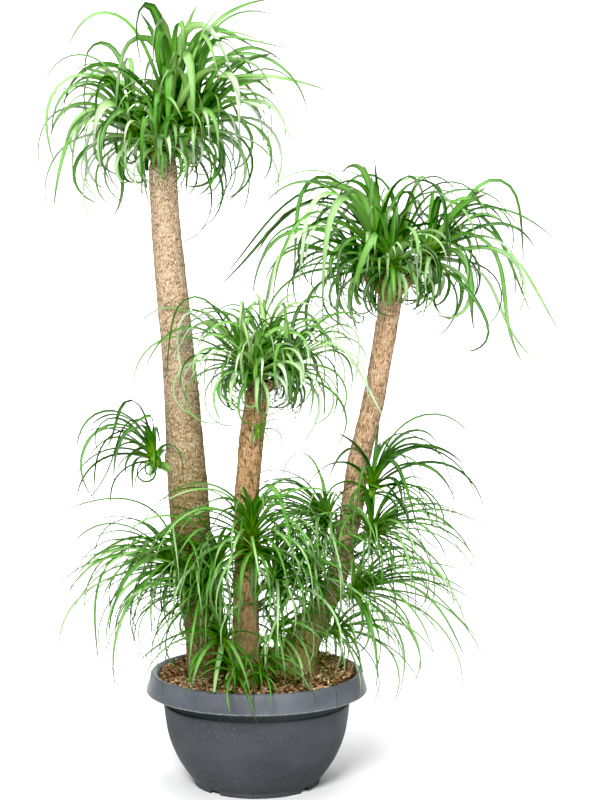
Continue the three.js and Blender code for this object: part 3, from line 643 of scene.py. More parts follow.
@dataclass(frozen=True)
class LeafFinish:
    """Strap leaves: dark and glossy green where they rise, pale and minty with painted sheen where they have folded
    over and fall, yellow-green at the root, veined along and dry at the tip.

    A vein's cells are counted across half a leaf, along it, and from one leaf's tone to the next.
    """

    name: str = "leaf_green"
    deep: Colour = (0.006, 0.048, 0.0014)
    green: Colour = (0.068, 0.238, 0.0150)
    fresh: Colour = (0.240, 0.410, 0.1150)
    # These three make the falling leaf's ramp, which is painted sheen: shaded where it is dim, palest at its
    # highlight.
    shaded: Colour = (0.060, 0.175, 0.0160)
    pale: Colour = (0.250, 0.425, 0.1550)
    mint_sheen: Colour = (0.450, 0.530, 0.4000)
    root: Colour = (0.165, 0.330, 0.0080)
    dry: Colour = (0.045, 0.046, 0.0260)
    vein_cells: Triple = (7.0, 3.0, 91.0)
    cloud_scale: float = 15.0
    relief: float = 0.0006

    def material(self) -> bpy.types.Material:
        """Colour runs over tone, clouds and veins, from the rising leaf's ramp to the falling leaf's paler ramp of
        painted sheen, by how far the leaf has folded over.
        The fold is fresher and the edges deeper, and root and dry mix in by the way along the leaf.

        Returns:
            The material.
        """
        nodes = NodeTree(self.name)
        tone, way, across, hang_sheen = (nodes.carried(name) for name in ("tone", "way", "across", "hang_sheen"))
        clouds = nodes.noise(nodes.place(), self.cloud_scale, 2.0)
        x, y, z = (nodes.times(value, cells) for value, cells in zip((across, way, tone), self.vein_cells))
        veins = nodes.noise(nodes.add("ShaderNodeCombineXYZ", X=x, Y=y, Z=z).outputs["Vector"], 1.0, 2.0)
        shade = nodes.plus(nodes.times(tone, 0.55), nodes.times(clouds, 0.52))
        shade = nodes.plus(shade, nodes.swing(veins, 0.5))
        rising = nodes.ramp(shade, ((0.25, self.deep), (0.55, self.green), (0.86, self.fresh)))
        # The falling leaf's ramp: painted sheen that pales a leaf where it folds over and faces the lamps.
        hanging = nodes.ramp(shade, ((0.22, self.shaded), (0.52, self.pale), (0.88, self.mint_sheen)))
        colour = nodes.mix(hang_sheen, rising, hanging)
        off_fold = nodes.sums("ABSOLUTE", across)
        colour = nodes.mix(nodes.spread(off_fold, 0.30, 0.0, 0.0, 0.42), colour, self.fresh)
        colour = nodes.mix(nodes.spread(off_fold, 0.52, 1.0, 0.0, 0.40), colour, self.deep)
        colour = nodes.mix(nodes.spread(way, 0.22, 0.0, 0.0, 0.85), colour, self.root)
        tips = nodes.times(nodes.spread(way, 0.72, 0.98), nodes.spread(tone, 0.25, 0.9, 1.0, 0.5))
        colour = nodes.mix(tips, colour, self.dry)
        nodes.bump(veins, self.relief, 0.5)
        return nodes.finish(colour, nodes.spread(veins, 0.3, 0.7, 0.38, 0.52), 0.28)


@dataclass(frozen=True)
class MulchFinish:
    """Bark chips and crumbs: red-brown to dark brown with a few pale ones."""

    name: str = "bark_chips"
    tones: Stops = (
        (0.08, (0.022, 0.012, 0.006)), (0.28, (0.150, 0.066, 0.030)), (0.50, (0.310, 0.158, 0.080)),
        (0.70, (0.480, 0.300, 0.170)), (0.92, (0.740, 0.610, 0.430)))
    streak_scale: float = 260.0
    relief: float = 0.0012

    def material(self) -> bpy.types.Material:
        """Colour by the chip's tone and its streaks.

        Returns:
            The material.
        """
        nodes = NodeTree(self.name)
        streaks = nodes.noise(nodes.place(), self.streak_scale, 3.0)
        colour = nodes.ramp(nodes.plus(nodes.carried("tone"), nodes.swing(streaks, 0.5)), self.tones)
        nodes.bump(streaks, self.relief, 0.8)
        return nodes.finish(colour, 0.9, 0.2)


@dataclass(frozen=True)
class SoilFinish:
    """Damp potting soil, near-black brown with crumbs."""

    name: str = "potting_soil"
    tones: Stops = ((0.3, (0.012, 0.008, 0.006)), (0.7, (0.075, 0.045, 0.028)))
    crumb_scale: float = 150.0
    relief: float = 0.003

    def material(self) -> bpy.types.Material:
        """Colour and relief by the crumbs.

        Returns:
            The material.
        """
        nodes = NodeTree(self.name)
        crumbs = nodes.noise(nodes.place(), self.crumb_scale, 5.0)
        nodes.bump(crumbs, self.relief, 1.0)
        return nodes.finish(nodes.ramp(crumbs, self.tones), 0.95, 0.2)


@dataclass(frozen=True)
class PaperFinish:
    """The studio's pale floor, near white with the faintest mottle."""

    name: str = "pale_floor"
    tones: Stops = ((0.3, (0.86, 0.86, 0.86)), (0.7, (0.88, 0.88, 0.88)))
    mottle_scale: float = 3.0

    def material(self) -> bpy.types.Material:
        """Colour by the mottle.

        Returns:
            The material.
        """
        nodes = NodeTree(self.name)
        mottle = nodes.noise(nodes.place(), self.mottle_scale, 2.0)
        return nodes.finish(nodes.ramp(mottle, self.tones), 0.9, 0.1)


# The bowl


@dataclass
class Bowl:
    """The moulded bowl as one surface of revolution, with drain channels pressed into its foot.

    side_columns are where the profile is repeated beside a channel, in halves of its width, so that its sides
    are crisp. drain_side is where those sides start and end, in widths from the channel's middle. channel_rows
    is how many of the profile's first points the channels can lift.
    """

    rim_radius: float = 0.250
    rim_top: float = 0.259
    base_radius: float = 0.1416
    wall: float = 0.004
    floor: float = 0.005
    sides: int = 288
    drain_angles: tuple[float, ...] = (50.0, 140.0, 230.0, 320.0)
    drain_width: float = 0.028
    drain_height: float = 0.011
    drain_from: float = 0.092
    drain_end: float = 0.006
    drain_side: tuple[float, float] = (0.525, 0.475)
    side_columns: tuple[float, ...] = (-1.06, -0.97, 0.97, 1.06)
    channel_rows: int = 25
    finish: PlasticFinish = field(default_factory=PlasticFinish)

    def outside(self) -> Array:
        """Radius and height of the body, from the base's edge up to the neck: a smooth curve through stations.

        Returns:
            One row for each of sixty points.
        """
        stations = np.array([
            (0.1428, 0.005), (0.1432, 0.0115), (0.1462, 0.0150), (0.1545, 0.0250), (0.1665, 0.0420),
            (0.178, 0.060), (0.1875, 0.0795), (0.195, 0.098), (0.2018, 0.121), (0.206, 0.145),
            (0.2090, 0.168), (0.2110, 0.184)])
        return through(stations, np.linspace(0, 1, 60))[0]

    def neck(self) -> Array:
        """The stepped neck under the rim: a shoulder, two shallow grooves and the wall up into the skirt.

        Returns:
            Radius and height, one row for each point.
        """
        return np.array([
            (0.2112, 0.1865), (0.2106, 0.1885), (0.2092, 0.1898), (0.2078, 0.1904), (0.2072, 0.1915),
            (0.2072, 0.1965), (0.2069, 0.1978), (0.2058, 0.1984), (0.2054, 0.1995), (0.2054, 0.2050),
            (0.2068, 0.2110), (0.2108, 0.2180), (0.2160, 0.2300), (0.2212, 0.2420), (0.2246, 0.2475),
            (0.2300, 0.2490), (0.2335, 0.2480)])

    def rim(self) -> Array:
        """The hanging skirt and the lip: straight flanks joined by corners, each centre + r (cos t, sin t).

        Returns:
            Radius and height, one row for each point. The last four are the lip's inner side.
        """
        skirt = np.array([(0.2352, 0.2460), (0.2400, 0.2300), (0.2452, 0.2165)])
        turn = np.radians(np.linspace(200, 385, 12))
        corner = np.array([0.24775, 0.2162]) + 0.0022 * np.stack([np.cos(turn), np.sin(turn)], axis=1)
        flank = np.array([(0.2488, 0.2215), (0.2463, 0.2300), (0.2434, 0.2395), (0.2402, 0.2490)])
        over = np.radians(np.linspace(20, 112, 10))
        lip = np.array([0.2336, 0.2530]) + 0.0058 * np.stack([np.cos(over), np.sin(over)], axis=1)
        inner = np.array([(0.2290, 0.2572), (0.2250, 0.2548), (0.2222, 0.2520), (0.2205, 0.2470)])
        return np.concatenate([skirt, corner, flank, lip, inner])

    def hollow(self) -> Array:
        """Radius and height of the inner wall below the lip: every sixth point outside, moved in by the wall."""
        out = np.concatenate([self.outside()[4::6], self.neck()[-6:-3]])
        return np.stack([out[:, 0] - self.wall, np.maximum(out[:, 1], self.floor + 0.006)], axis=1)

    def inside(self) -> Array:
        """Radius and height of the inner wall and the lip's inner side above it, from the floor up."""
        return np.concatenate([self.hollow(), self.rim()[-1:-5:-1]])

    def profile(self) -> Array:
        """The whole section, from the base's centre round the outside and back down the inside to the floor.

        Returns:
            Radius and height, one row for each point.
        """
        base = np.array([
            (0.0, 0.0), (0.05, 0.0), (self.drain_from - self.drain_end, 0.0), (self.drain_from, 0.0),
            (0.100, 0.0), (0.115, 0.0), (0.130, 0.0), (0.1385, 0.0), (0.1405, 0.0004),
            (self.base_radius, 0.0012), (0.1424, 0.0028)])
        floor = np.array([(self.base_radius - self.wall, self.floor + 0.001), (0.07, self.floor), (0.0, self.floor)])
        return np.concatenate([base, self.outside(), self.neck(), self.rim(), self.hollow()[::-1], floor])

    def surface(self) -> Patch:
        """Turns the profile: (r cos t, r sin t, z), where z is lifted to the channel's height inside each drain
        channel. The channel's sides and its inner end are smooth steps.

        Returns:
            The closed shell.
        """
        half = np.arcsin(self.drain_width / 2 / self.base_radius)
        beside = np.radians(np.array(self.drain_angles))[:, None] + half * np.array(self.side_columns)
        turn = np.unique(np.mod(np.concatenate([round_turn(self.sides), beside.ravel()]), FULL_TURN))
        radius, height = self.profile().T
        x, y = radius[:, None] * np.cos(turn), radius[:, None] * np.sin(turn)
        z = np.broadcast_to(height[:, None], x.shape).copy()
        liftable = np.arange(len(radius))[:, None] < self.channel_rows
        side_out, side_in = (-self.drain_width * share for share in self.drain_side)
        for angle in self.drain_angles:
            way, side = compass(angle), compass(angle + 90)
            out, off = x * way[0] + y * way[1], np.abs(x * side[0] + y * side[1])
            inside = smooth_step(-off, side_out, side_in)
            inside = inside * smooth_step(out, self.drain_from - self.drain_end, self.drain_from) * liftable
            z = z + np.maximum(self.drain_height - z, 0) * inside
        points = np.stack([x, y, z], axis=-1).reshape(-1, 3)
        return Patch(points, grid_quads(len(radius), len(turn), closed=True))

    def build(self) -> bpy.types.Object:
        """Makes the bowl and dresses it.

        Returns:
            The piece.
        """
        made = piece("plastic_bowl", [self.surface()], [self.finish.material()])
        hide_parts("bowl")
        return made


# Soil and mulch

FLAKE_ALONG = np.array([-0.5, 0.05, 0.5])
FLAKE_BEND = np.array([1.0, 0.0, 1.0])
FLAKE_SECTION = np.array([(-0.5, 0.5), (-0.5, -0.5), (0.5, -0.5), (0.5, 0.5)])
FLAKE_POINTS = 12


@dataclass(frozen=True)
class Flakes:
    """One kind of bark flake: how many, the seed of their draw, their shortest and longest length and thickness
    in metres, and their width as a share of their length.

    bend is the most that an end bends, in lengths, and skew the most that a corner is moved, in widths. pitch
    and roll are the usual tilt lengthwise and sideways, in radians.
    """

    count: int
    seed: int
    length: tuple[float, float]
    slim: float
    thickness: tuple[float, float] = (0.0012, 0.0035)
    bend: float = 0.22
    skew: float = 0.15
    pitch: float = 0.3
    roll: float = 0.45

    def blanks(self, rng: np.random.Generator) -> Array:
        """Level flakes at the origin, as three four-cornered sections each: length times the section's place,
        width times its taper and thickness, skewed at random and bent down or up at both ends.

        Args:
            rng: the repeatable draw.

        Returns:
            Points as flake by section by corner by 3.
        """
        count = self.count
        size = rng.uniform(*self.length, count) * rng.uniform(0.6, 1.0, count)
        wide, thick = size * self.slim * rng.uniform(0.6, 1.3, count), rng.uniform(*self.thickness, count)
        taper = np.stack([rng.uniform(0.3, 0.9, count), np.ones(count), rng.uniform(0.2, 0.9, count)], axis=1)
        bend = rng.uniform(-self.bend, self.bend, (count, 1)) * size[:, None] * FLAKE_BEND
        skew = rng.uniform(-self.skew, self.skew, (count, 3, 4)) * wide[:, None, None]
        points = np.empty((count, 3, 4, 3))
        points[..., 0] = size[:, None, None] * FLAKE_ALONG[None, :, None] + skew
        points[..., 1] = wide[:, None, None] * taper[:, :, None] * FLAKE_SECTION[None, None, :, 0]
        points[..., 2] = thick[:, None, None] * FLAKE_SECTION[None, None, :, 1] + bend[:, :, None]
        return points

    def tipped(self, points: Array, rng: np.random.Generator) -> Array:
        """Flakes turned to any heading, then pitched and rolled a little, as rows times three square axes.

        Args:
            points: the flakes, level and at the origin.
            rng: the repeatable draw.

        Returns:
            The points turned.
        """
        heading = rng.uniform(0, FULL_TURN, self.count)
        pitch, roll = rng.normal(0, self.pitch, self.count), rng.normal(0, self.roll, self.count)
        first = np.stack([np.cos(heading) * np.cos(pitch), np.sin(heading) * np.cos(pitch), np.sin(pitch)], axis=1)
        level = np.stack([-np.sin(heading), np.cos(heading), np.zeros(self.count)], axis=1)
        second = level * np.cos(roll)[:, None] + np.cross(first, level) * np.sin(roll)[:, None]
        return np.einsum("cslk,ckj->cslj", points, np.stack([first, second, np.cross(first, second)], axis=1))


@dataclass
class Filling:
    """The soil's tilted plane and the mulch that lies on it, inside the bowl's wall.

    wall is the radius and height of the bowl's inside, top the soil's height at the middle, depth the mulch's,
    relief the height of its lumps, and heap how far it is piled up at the right and the back. The bed of crumbs
    lies bed_sink under the mulch's top and soil_gap over the soil. Flakes lie from flake_sink under the top to
    flake_pile over that, out to flake_reach of the radius and in to bark_share of a trunk's.
    """

    wall: Array
    top: float = 0.242
    rise_x: float = 0.018
    rise_y: float = 0.008
    depth: float = 0.012
    relief: float = 0.005
    radius: float = 0.2215
    heap: float = 0.004
    heap_side: float = 60.0
    crumb: float = 0.0022
    crumb_scale: float = 90.0
    grit_scale: float = 160.0
    sides: int = 150
    rings: int = 34
    wall_gap: float = 0.0008
    bed_gap: float = 0.002
    bed_sink: float = 0.004
    soil_gap: float = 0.001
    flake_sink: float = 0.003
    flake_pile: float = 0.007
    flake_reach: float = 0.985
    bark_share: float = 0.98
    chips: Flakes = Flakes(4200, 5, (0.007, 0.024), 0.42)
    fibres: Flakes = Flakes(500, 6, (0.018, 0.038), 0.07)

    def soil_height(self, x: Array, y: Array) -> Array:
        """The soil's plane: top + rise_x x + rise_y y."""
        return self.top + self.rise_x * x + self.rise_y * y

    def mulch_height(self, x: Array, y: Array) -> Array:
        """The mulch's top: the soil's plane, its depth, slow lumps made of crossed waves, and a heap that grows
        with the square of the distance out, most at the right and the back and least at the front left.

        Args:
            x: places to the right.
            y: places to the back.

        Returns:
            The height at each place.
        """
        wave_x = np.sin(71.0 * x + 1.3 * np.sin(43.0 * y))
        wave_y = np.cos(83.0 * y - 0.9 * np.sin(57.0 * x))
        out = np.clip(np.hypot(x, y) / self.radius, 0, 1) ** 2
        heap = self.heap * out * (0.65 + 0.35 * np.cos(np.arctan2(y, x) - math.radians(self.heap_side)))
        return self.soil_height(x, y) + self.depth + self.relief * wave_x * wave_y * (1 - 0.6 * out) + heap

    def room(self, height: Array) -> Array:
        """The radius just inside the bowl's wall at a height, read from the wall's profile."""
        return np.interp(height, self.wall[:, 1], self.wall[:, 0]) - self.wall_gap

    def reach(self, turn: Array, level: Callable[[Array, Array], Array]) -> Array:
        """How far out a layer meets the wall: the radius is found from the layer's height there, four times over.

        Args:
            turn: compass angles in radians.
            level: the layer's height at x and y.

        Returns:
            The radius at each angle.
        """
        radius = np.full_like(turn, self.radius)
        for _ in range(4):
            radius = self.room(level(radius * np.cos(turn), radius * np.sin(turn)))
        return radius

    def bed(self) -> Patch:
        """A closed round layer: out along its underside, which is the soil's plane, and back over its top, which
        is the mulch's height with crumbs of fractal noise.

        Returns:
            The layer.
        """
        out = np.linspace(0, 1, self.rings)
        under, over = out[::6], out[::-1]
        rings = np.concatenate([under, over])
        below = (np.arange(len(rings)) < len(under))[:, None]
        turn = round_turn(self.sides)
        reach = np.where(
            below, self.reach(turn, self.soil_height), self.reach(turn, self.mulch_height) - self.bed_gap)
        radius = reach * rings[:, None]
        x, y = radius * np.cos(turn), radius * np.sin(turn)
        crumbs = self.crumb * fractal(np.stack([x * self.crumb_scale, y * self.crumb_scale, x * 0], axis=-1), 3)
        top = self.mulch_height(x, y) - self.bed_sink + crumbs
        z = np.where(below, self.soil_height(x, y) + self.soil_gap, top)
        points = np.stack([x, y, z], axis=-1).reshape(-1, 3)
        tone = 0.16 + 0.14 * value_noise(points * self.grit_scale)
        return Patch(points, grid_quads(len(rings), len(turn), closed=True), tone=tone)

    def strewn(self, kind: Flakes, trunks: list[Trunk]) -> Patch:
        """Flakes strewn evenly over the disc and tipped. Those that would cut a trunk or the wall are left out.

        Args:
            kind: the kind of flake.
            trunks: they lie clear of these.

        Returns:
            One patch with a tone for each flake.
        """
        rng = np.random.default_rng(kind.seed)
        turn, out = rng.uniform(0, FULL_TURN, kind.count), np.sqrt(rng.uniform(0, 1, kind.count))
        radius = self.radius * self.flake_reach * out
        x, y = radius * np.cos(turn), radius * np.sin(turn)
        z = self.mulch_height(x, y) - self.flake_sink + rng.uniform(0, 1, kind.count) ** 2 * self.flake_pile
        clear = np.ones(kind.count, bool)
        for trunk in trunks:
            centre, bark = trunk.at_height(z)
            clear &= np.hypot(x - centre[:, 0], y - centre[:, 1]) > bark * self.bark_share
        turned = kind.tipped(kind.blanks(rng), rng)
        points = (turned + np.stack([x, y, z], axis=1)[:, None, None])[clear]
        tone = np.repeat(rng.beta(2.2, 2.4, kind.count)[clear], FLAKE_POINTS)
        inside = (np.hypot(points[..., 0], points[..., 1]) < self.room(points[..., 2])).all(axis=(1, 2))
        shell = np.concatenate([grid_quads(3, 4, closed=True), [[3, 2, 1, 0], [8, 9, 10, 11]]])[:, ::-1]
        quads = shell[None] + FLAKE_POINTS * np.flatnonzero(inside)[:, None, None]
        return Patch(points.reshape(-1, 3), quads.reshape(-1, 4), tone=tone)

    def build(self, trunks: list[Trunk]) -> bpy.types.Object:
        """Makes the mulch: its bed, its chips and a few stringy fibres. The soil's own solid gets its finish.

        Args:
            trunks: the mulch lies clear of these.

        Returns:
            The mulch's piece.
        """
        patches = [self.bed(), self.strewn(self.chips, trunks), self.strewn(self.fibres, trunks)]
        made = piece("mulch_chips", patches, [MulchFinish().material()])
        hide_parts("bark_mulch")
        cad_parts["potting_soil"].data.materials.clear()
        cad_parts["potting_soil"].data.materials.append(SoilFinish().material())
        return made


# Trunks


@dataclass(frozen=True)
class Knot:
    """A rounded swelling on a trunk, or a sunken scar where bulge is below 0: its height, the compass angle of
    its side, its size and how far it stands out."""

    height: float
    side: float
    size: float
    bulge: float


@dataclass
class Trunk:
    """A woody trunk: a curve through stations of x, y, z and radius, with its bark's relief.

    groove is the depth of its grooves, swell and lump the size of its slow lumps in radii, and columns and pitch
    are how finely it is divided round and along. Each scale is in cells to a metre round it, round it again and
    along it. table is its centre line and radius against height, for what keeps clear of it.
    """

    node: str
    stations: Array
    finish: BarkFinish
    groove: float
    columns: int
    knots: tuple[Knot, ...]
    pitch: float = 0.0042
    swell: float = 0.035
    swell_scale: Triple = (9.0, 9.0, 7.0)
    lump: float = 0.02
    lump_scale: Triple = (30.0, 30.0, 16.0)
    crack_scale: Triple = (170.0, 170.0, 52.0)
    row_scale: Triple = (60.0, 60.0, 150.0)
    table: Array = field(init=False)

    def __post_init__(self) -> None:
        """Works out the table."""
        share = np.linspace(0, 1, 400)
        self.table = np.column_stack([through(self.stations[:, :3], share)[0], self.thickness(share)])

    @property
    def tip(self) -> Array:
        """The centre of the trunk's cut top."""
        return self.stations[-1, :3]

    def thickness(self, share: Array) -> Array:
        """The radius at shares of the way up, even in stations."""
        return np.interp(share, np.linspace(0, 1, len(self.stations)), self.stations[:, 3])

    def at_height(self, z: Array) -> tuple[Array, Array]:
        """The trunk's section at heights, read from the table.

        Args:
            z: the heights.

        Returns:
            Centre and radius. Outside the trunk's reach the radius is 0.
        """
        heights = self.table[:, 2]
        centre = np.stack([np.interp(z, heights, self.table[:, k]) for k in range(3)], axis=-1)
        radius = np.interp(z, heights, self.table[:, 3])
        return centre, np.where((z > heights[-1]) | (z < heights[0]), 0.0, radius)

    def beside(self, height: float, side: float, off: float) -> Array:
        """The point that stands off the bark by a distance, at a height and a compass angle."""
        centre, radius = self.at_height(np.array([height]))
        return centre[0] + compass(side) * (radius[0] + off)

    def surface(self) -> tuple[Array, Array, Array]:
        """Points centre + reach (cos t u + sin t v), with u and v square to the trunk's way up.

        reach is the radius times 1 plus slow lumps, plus grooves made of noise drawn out along the trunk, plus
        each knot's bulge times exp(-d^2 / size^2). The scar is that same exp, of the knots that sink.

        Returns:
            The points, their grain (r cos t, r sin t, way along) and their scar, each as ring by column.
        """
        length = np.linalg.norm(np.diff(self.table[:, :3], axis=0), axis=1).sum()
        share = np.linspace(0, 1, int(length / self.pitch))
        centre, slope = through(self.stations[:, :3], share)
        along = unit(slope)
        u = unit(np.cross(BACK, along))
        turn = round_turn(self.columns)
        ring = circles(turn, u, np.cross(along, u))
        steps = np.linalg.norm(np.diff(centre, axis=0), axis=1)
        way = np.broadcast_to(np.concatenate([[0], np.cumsum(steps)])[:, None], (len(share), self.columns))
        mean = self.stations[:, 3].mean()
        level_x, level_y = (np.broadcast_to(mean * level, way.shape) for level in (np.cos(turn), np.sin(turn)))
        grain = np.stack([level_x, level_y, way], axis=-1)
        slow, quick = value_noise(grain * self.swell_scale), value_noise(grain * self.lump_scale + 5)
        lumps = self.swell * slow + self.lump * quick
        cracks = fractal(grain * self.crack_scale, 2)
        rows = value_noise(grain * self.row_scale + 9)
        reach = self.thickness(share)[:, None] * (1 + lumps) + self.groove * (0.75 * cracks + 0.35 * rows)
        points = centre[:, None] + reach[..., None] * ring
        scar = np.zeros(way.shape)
        for knot in self.knots:
            off = np.linalg.norm(points - self.beside(knot.height, knot.side, 0.0), axis=-1)
            swell = np.exp(-((off / knot.size) ** 2))
            points = points + (knot.bulge * swell)[..., None] * ring
            scar = np.maximum(scar, swell * (knot.bulge < 0))
        return points, grain, scar

    def build(self) -> bpy.types.Object:
        """Makes the trunk, with its two ends drawn in to their middles, and dresses it.

        Returns:
            The piece.
        """
        points, grain, scar = self.surface()
        ends = [np.broadcast_to(ring.mean(axis=0), (1, *ring.shape)) for ring in (points[0], points[-1])]
        points = np.concatenate([ends[0], points, ends[1]])
        grain, scar = (np.concatenate([rows[:1], rows, rows[-1:]]) for rows in (grain, scar))
        quads = grid_quads(len(points), self.columns, closed=True)
        patch = Patch(points.reshape(-1, 3), quads, grain=grain, tone=scar)
        made = piece(self.node.replace("trunk", "bark"), [patch], [self.finish.material()])
        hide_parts(self.node)
        return made


TALL_BARK = BarkFinish(
    "bark_tall", BarkLook.NETTED, plate=(0.49, 0.37, 0.255), middle=(0.35, 0.23, 0.13), crack=(0.145, 0.095, 0.047),
    foot=(0.112, 0.078, 0.014), foot_from=0.42, foot_to=1.15, moss_share=0.65, fleck=(0.76, 0.65, 0.53))
MIDDLE_BARK = BarkFinish(
    "bark_middle", BarkLook.GROOVED, plate=(0.42, 0.26, 0.135), middle=(0.25, 0.14, 0.058),
    crack=(0.055, 0.032, 0.010), foot=(0.20, 0.13, 0.06), foot_from=0.26, foot_to=0.5, moss_share=0.3,
    fleck_share=0.2)
RIGHT_BARK = BarkFinish(
    "bark_right", BarkLook.CRACKED, plate=(0.50, 0.34, 0.205), middle=(0.31, 0.185, 0.095),
    crack=(0.125, 0.078, 0.040), foot=(0.24, 0.20, 0.055), foot_from=0.28, foot_to=0.62, moss_share=0.8,
    fleck=(0.74, 0.62, 0.52))


def make_trunks() -> dict[str, Trunk]:
    """Sets out the three trunks.

    Returns:
        Each trunk by its name.
    """
    tall = np.array([
        (-0.108, -0.018, 0.120, 0.038), (-0.112, -0.015, 0.256, 0.0455), (-0.114, -0.012, 0.329, 0.045),
        (-0.125, -0.010, 0.420, 0.046), (-0.143, -0.008, 0.534, 0.046), (-0.151, -0.005, 0.636, 0.045),
        (-0.157, -0.002, 0.726, 0.0435), (-0.169, 0.002, 0.906, 0.0395), (-0.180, 0.005, 1.040, 0.036),
        (-0.193, 0.008, 1.174, 0.033), (-0.203, 0.010, 1.307, 0.0305), (-0.206, 0.010, 1.393, 0.0305)])
    middle = np.array([
        (-0.024, -0.122, 0.130, 0.034), (-0.026, -0.120, 0.252, 0.041), (-0.023, -0.116, 0.329, 0.033),
        (-0.021, -0.110, 0.429, 0.028), (-0.019, -0.104, 0.555, 0.027), (-0.020, -0.098, 0.656, 0.0265),
        (-0.013, -0.092, 0.740, 0.0265), (-0.007, -0.088, 0.808, 0.0275), (0.005, -0.085, 0.889, 0.028)])
    right = np.array([
        (0.084, -0.010, 0.125, 0.040), (0.087, -0.008, 0.248, 0.050), (0.093, -0.006, 0.293, 0.045),
        (0.116, -0.004, 0.346, 0.037), (0.152, -0.002, 0.407, 0.0275), (0.182, 0.000, 0.473, 0.024),
        (0.202, 0.002, 0.562, 0.024), (0.214, 0.005, 0.619, 0.0248), (0.227, 0.008, 0.714, 0.025),
        (0.244, 0.012, 0.792, 0.0248), (0.262, 0.015, 0.867, 0.0255), (0.279, 0.018, 0.959, 0.025),
        (0.295, 0.020, 1.053, 0.0246), (0.300, 0.020, 1.094, 0.025)])
    return {
        "tall": Trunk("trunk_tall", tall, TALL_BARK, groove=0.0013, columns=156, knots=(
            Knot(0.742, 200, 0.016, 0.005), Knot(0.9, 300, 0.012, 0.002))),
        "middle": Trunk("trunk_middle", middle, MIDDLE_BARK, groove=0.0009, columns=112, knots=(
            Knot(0.859, 305, 0.009, 0.006), Knot(0.859, 305, 0.0055, -0.008), Knot(0.808, 256, 0.009, 0.007),
            Knot(0.797, 257, 0.0045, -0.004), Knot(0.778, 319, 0.008, 0.004), Knot(0.778, 319, 0.004, -0.005))),
        "right": Trunk("trunk_right", right, RIGHT_BARK, groove=0.0011, columns=120, knots=(
            Knot(0.66, 320, 0.015, 0.005), Knot(0.46, 290, 0.016, 0.004), Knot(0.33, 270, 0.02, 0.005))),
    }


# Leaves

GOLDEN_ANGLE = 137.508
COIL_FALL = -200.0
BLADE_SECTION = np.array([(-1.0, 0.0), (0.0, 0.0), (1.0, 0.0), (0.0, -1.0)])
BLADE_EDGES = np.array([1, 0, 2, 0])
BLADE_SIDES = len(BLADE_SECTION)
LEAST_HALF_WIDTH = 0.0005
TIP_THICKNESS = 0.0005
ROOT_THICKER_BY = 0.0004


class Use(IntEnum):
    """What a leaf's repeatable draw is for."""

    TURN = 1
    OPENING = 2
    FALL = 3
    BEND = 4
    EASE = 5
    LENGTH = 6
    WIDTH = 7
    OLD_FALL = 8
    SWEEP = 9
    TWIST = 10
    TONE = 11
    CURL = 12
    SINGLE_TWIST = 20
    SINGLE_TONE = 21


@dataclass
class LeafSet:
    """How each of many leaves grows, as one array for each property. Angles are in radians.

    A leaf starts at a place and a compass angle with a rise above the level, and goes over to a fall round a
    share of its way, its bend, within an ease. Sweep turns it sideways, twist about itself and curl under.
    hold is how long it keeps its width before it tapers.
    """

    start: Array
    azimuth: Array
    rise: Array
    fall: Array
    bend: Array
    ease: Array
    length: Array
    width: Array
    sweep: Array
    twist: Array
    curl: Array
    hold: Array
    tone: Array

    @staticmethod
    def together(sets: list[LeafSet]) -> LeafSet:
        """Several sets as one."""
        return LeafSet(*(np.concatenate([getattr(s, entry.name) for s in sets]) for entry in fields(LeafSet)))

    def only(self, kept: Array) -> LeafSet:
        """The leaves that a mask keeps."""
        return LeafSet(*(getattr(self, entry.name)[kept] for entry in fields(LeafSet)))


@dataclass(frozen=True)
class Surroundings:
    """What leaves lie on and keep clear of, and by how much: over the mulch, over and past the rim, and off the
    bark once they are past a share of their way. low and high are the corners of the box that they stay in, and
    nothing_below is the height that stands for no ground at all."""

    bowl: Bowl
    filling: Filling
    trunks: tuple[Trunk, ...]
    low: Array
    high: Array
    over_mulch: float = 0.004
    over_rim: float = 0.003
    past_rim: float = 0.004
    off_bark: float = 0.003
    foot_share: float = 0.16
    nothing_below: float = -1.0

    @property
    def rim_level(self) -> float:
        """The least height of a leaf on the rim."""
        return self.bowl.rim_top + self.over_rim

    @property
    def rim_reach(self) -> float:
        """The least distance out of a leaf that hangs beside the bowl."""
        return self.bowl.rim_radius + self.past_rim

    def ground(self, x: Array, y: Array) -> Array:
        """The least height of a leaf: over the mulch, over the rim, and none outside the bowl.

        Args:
            x: places to the right.
            y: places to the back.

        Returns:
            The height at each place.
        """
        out = np.hypot(x, y)
        over_mulch = self.filling.mulch_height(x, y) + self.over_mulch
        height = np.where(out < self.filling.radius, over_mulch, self.rim_level)
        return np.where(out < self.rim_reach, height, self.nothing_below)

    def clear(self, points: Array, way: Array) -> Array:
        """Finds the leaves that past their foot meet no trunk and that stay in the box.

        Args:
            points: leaf by station by 3.
            way: the stations' shares of the way.

        Returns:
            True for each leaf to keep.
        """
        kept = ((points > self.low) & (points < self.high)).all(axis=(1, 2))
        for trunk in self.trunks:
            centre, radius = trunk.at_height(points[..., 2])
            off = np.hypot(points[..., 0] - centre[..., 0], points[..., 1] - centre[..., 1])
            kept &= ~((off < radius + self.off_bark) & (way > self.foot_share)).any(axis=1)
        return kept


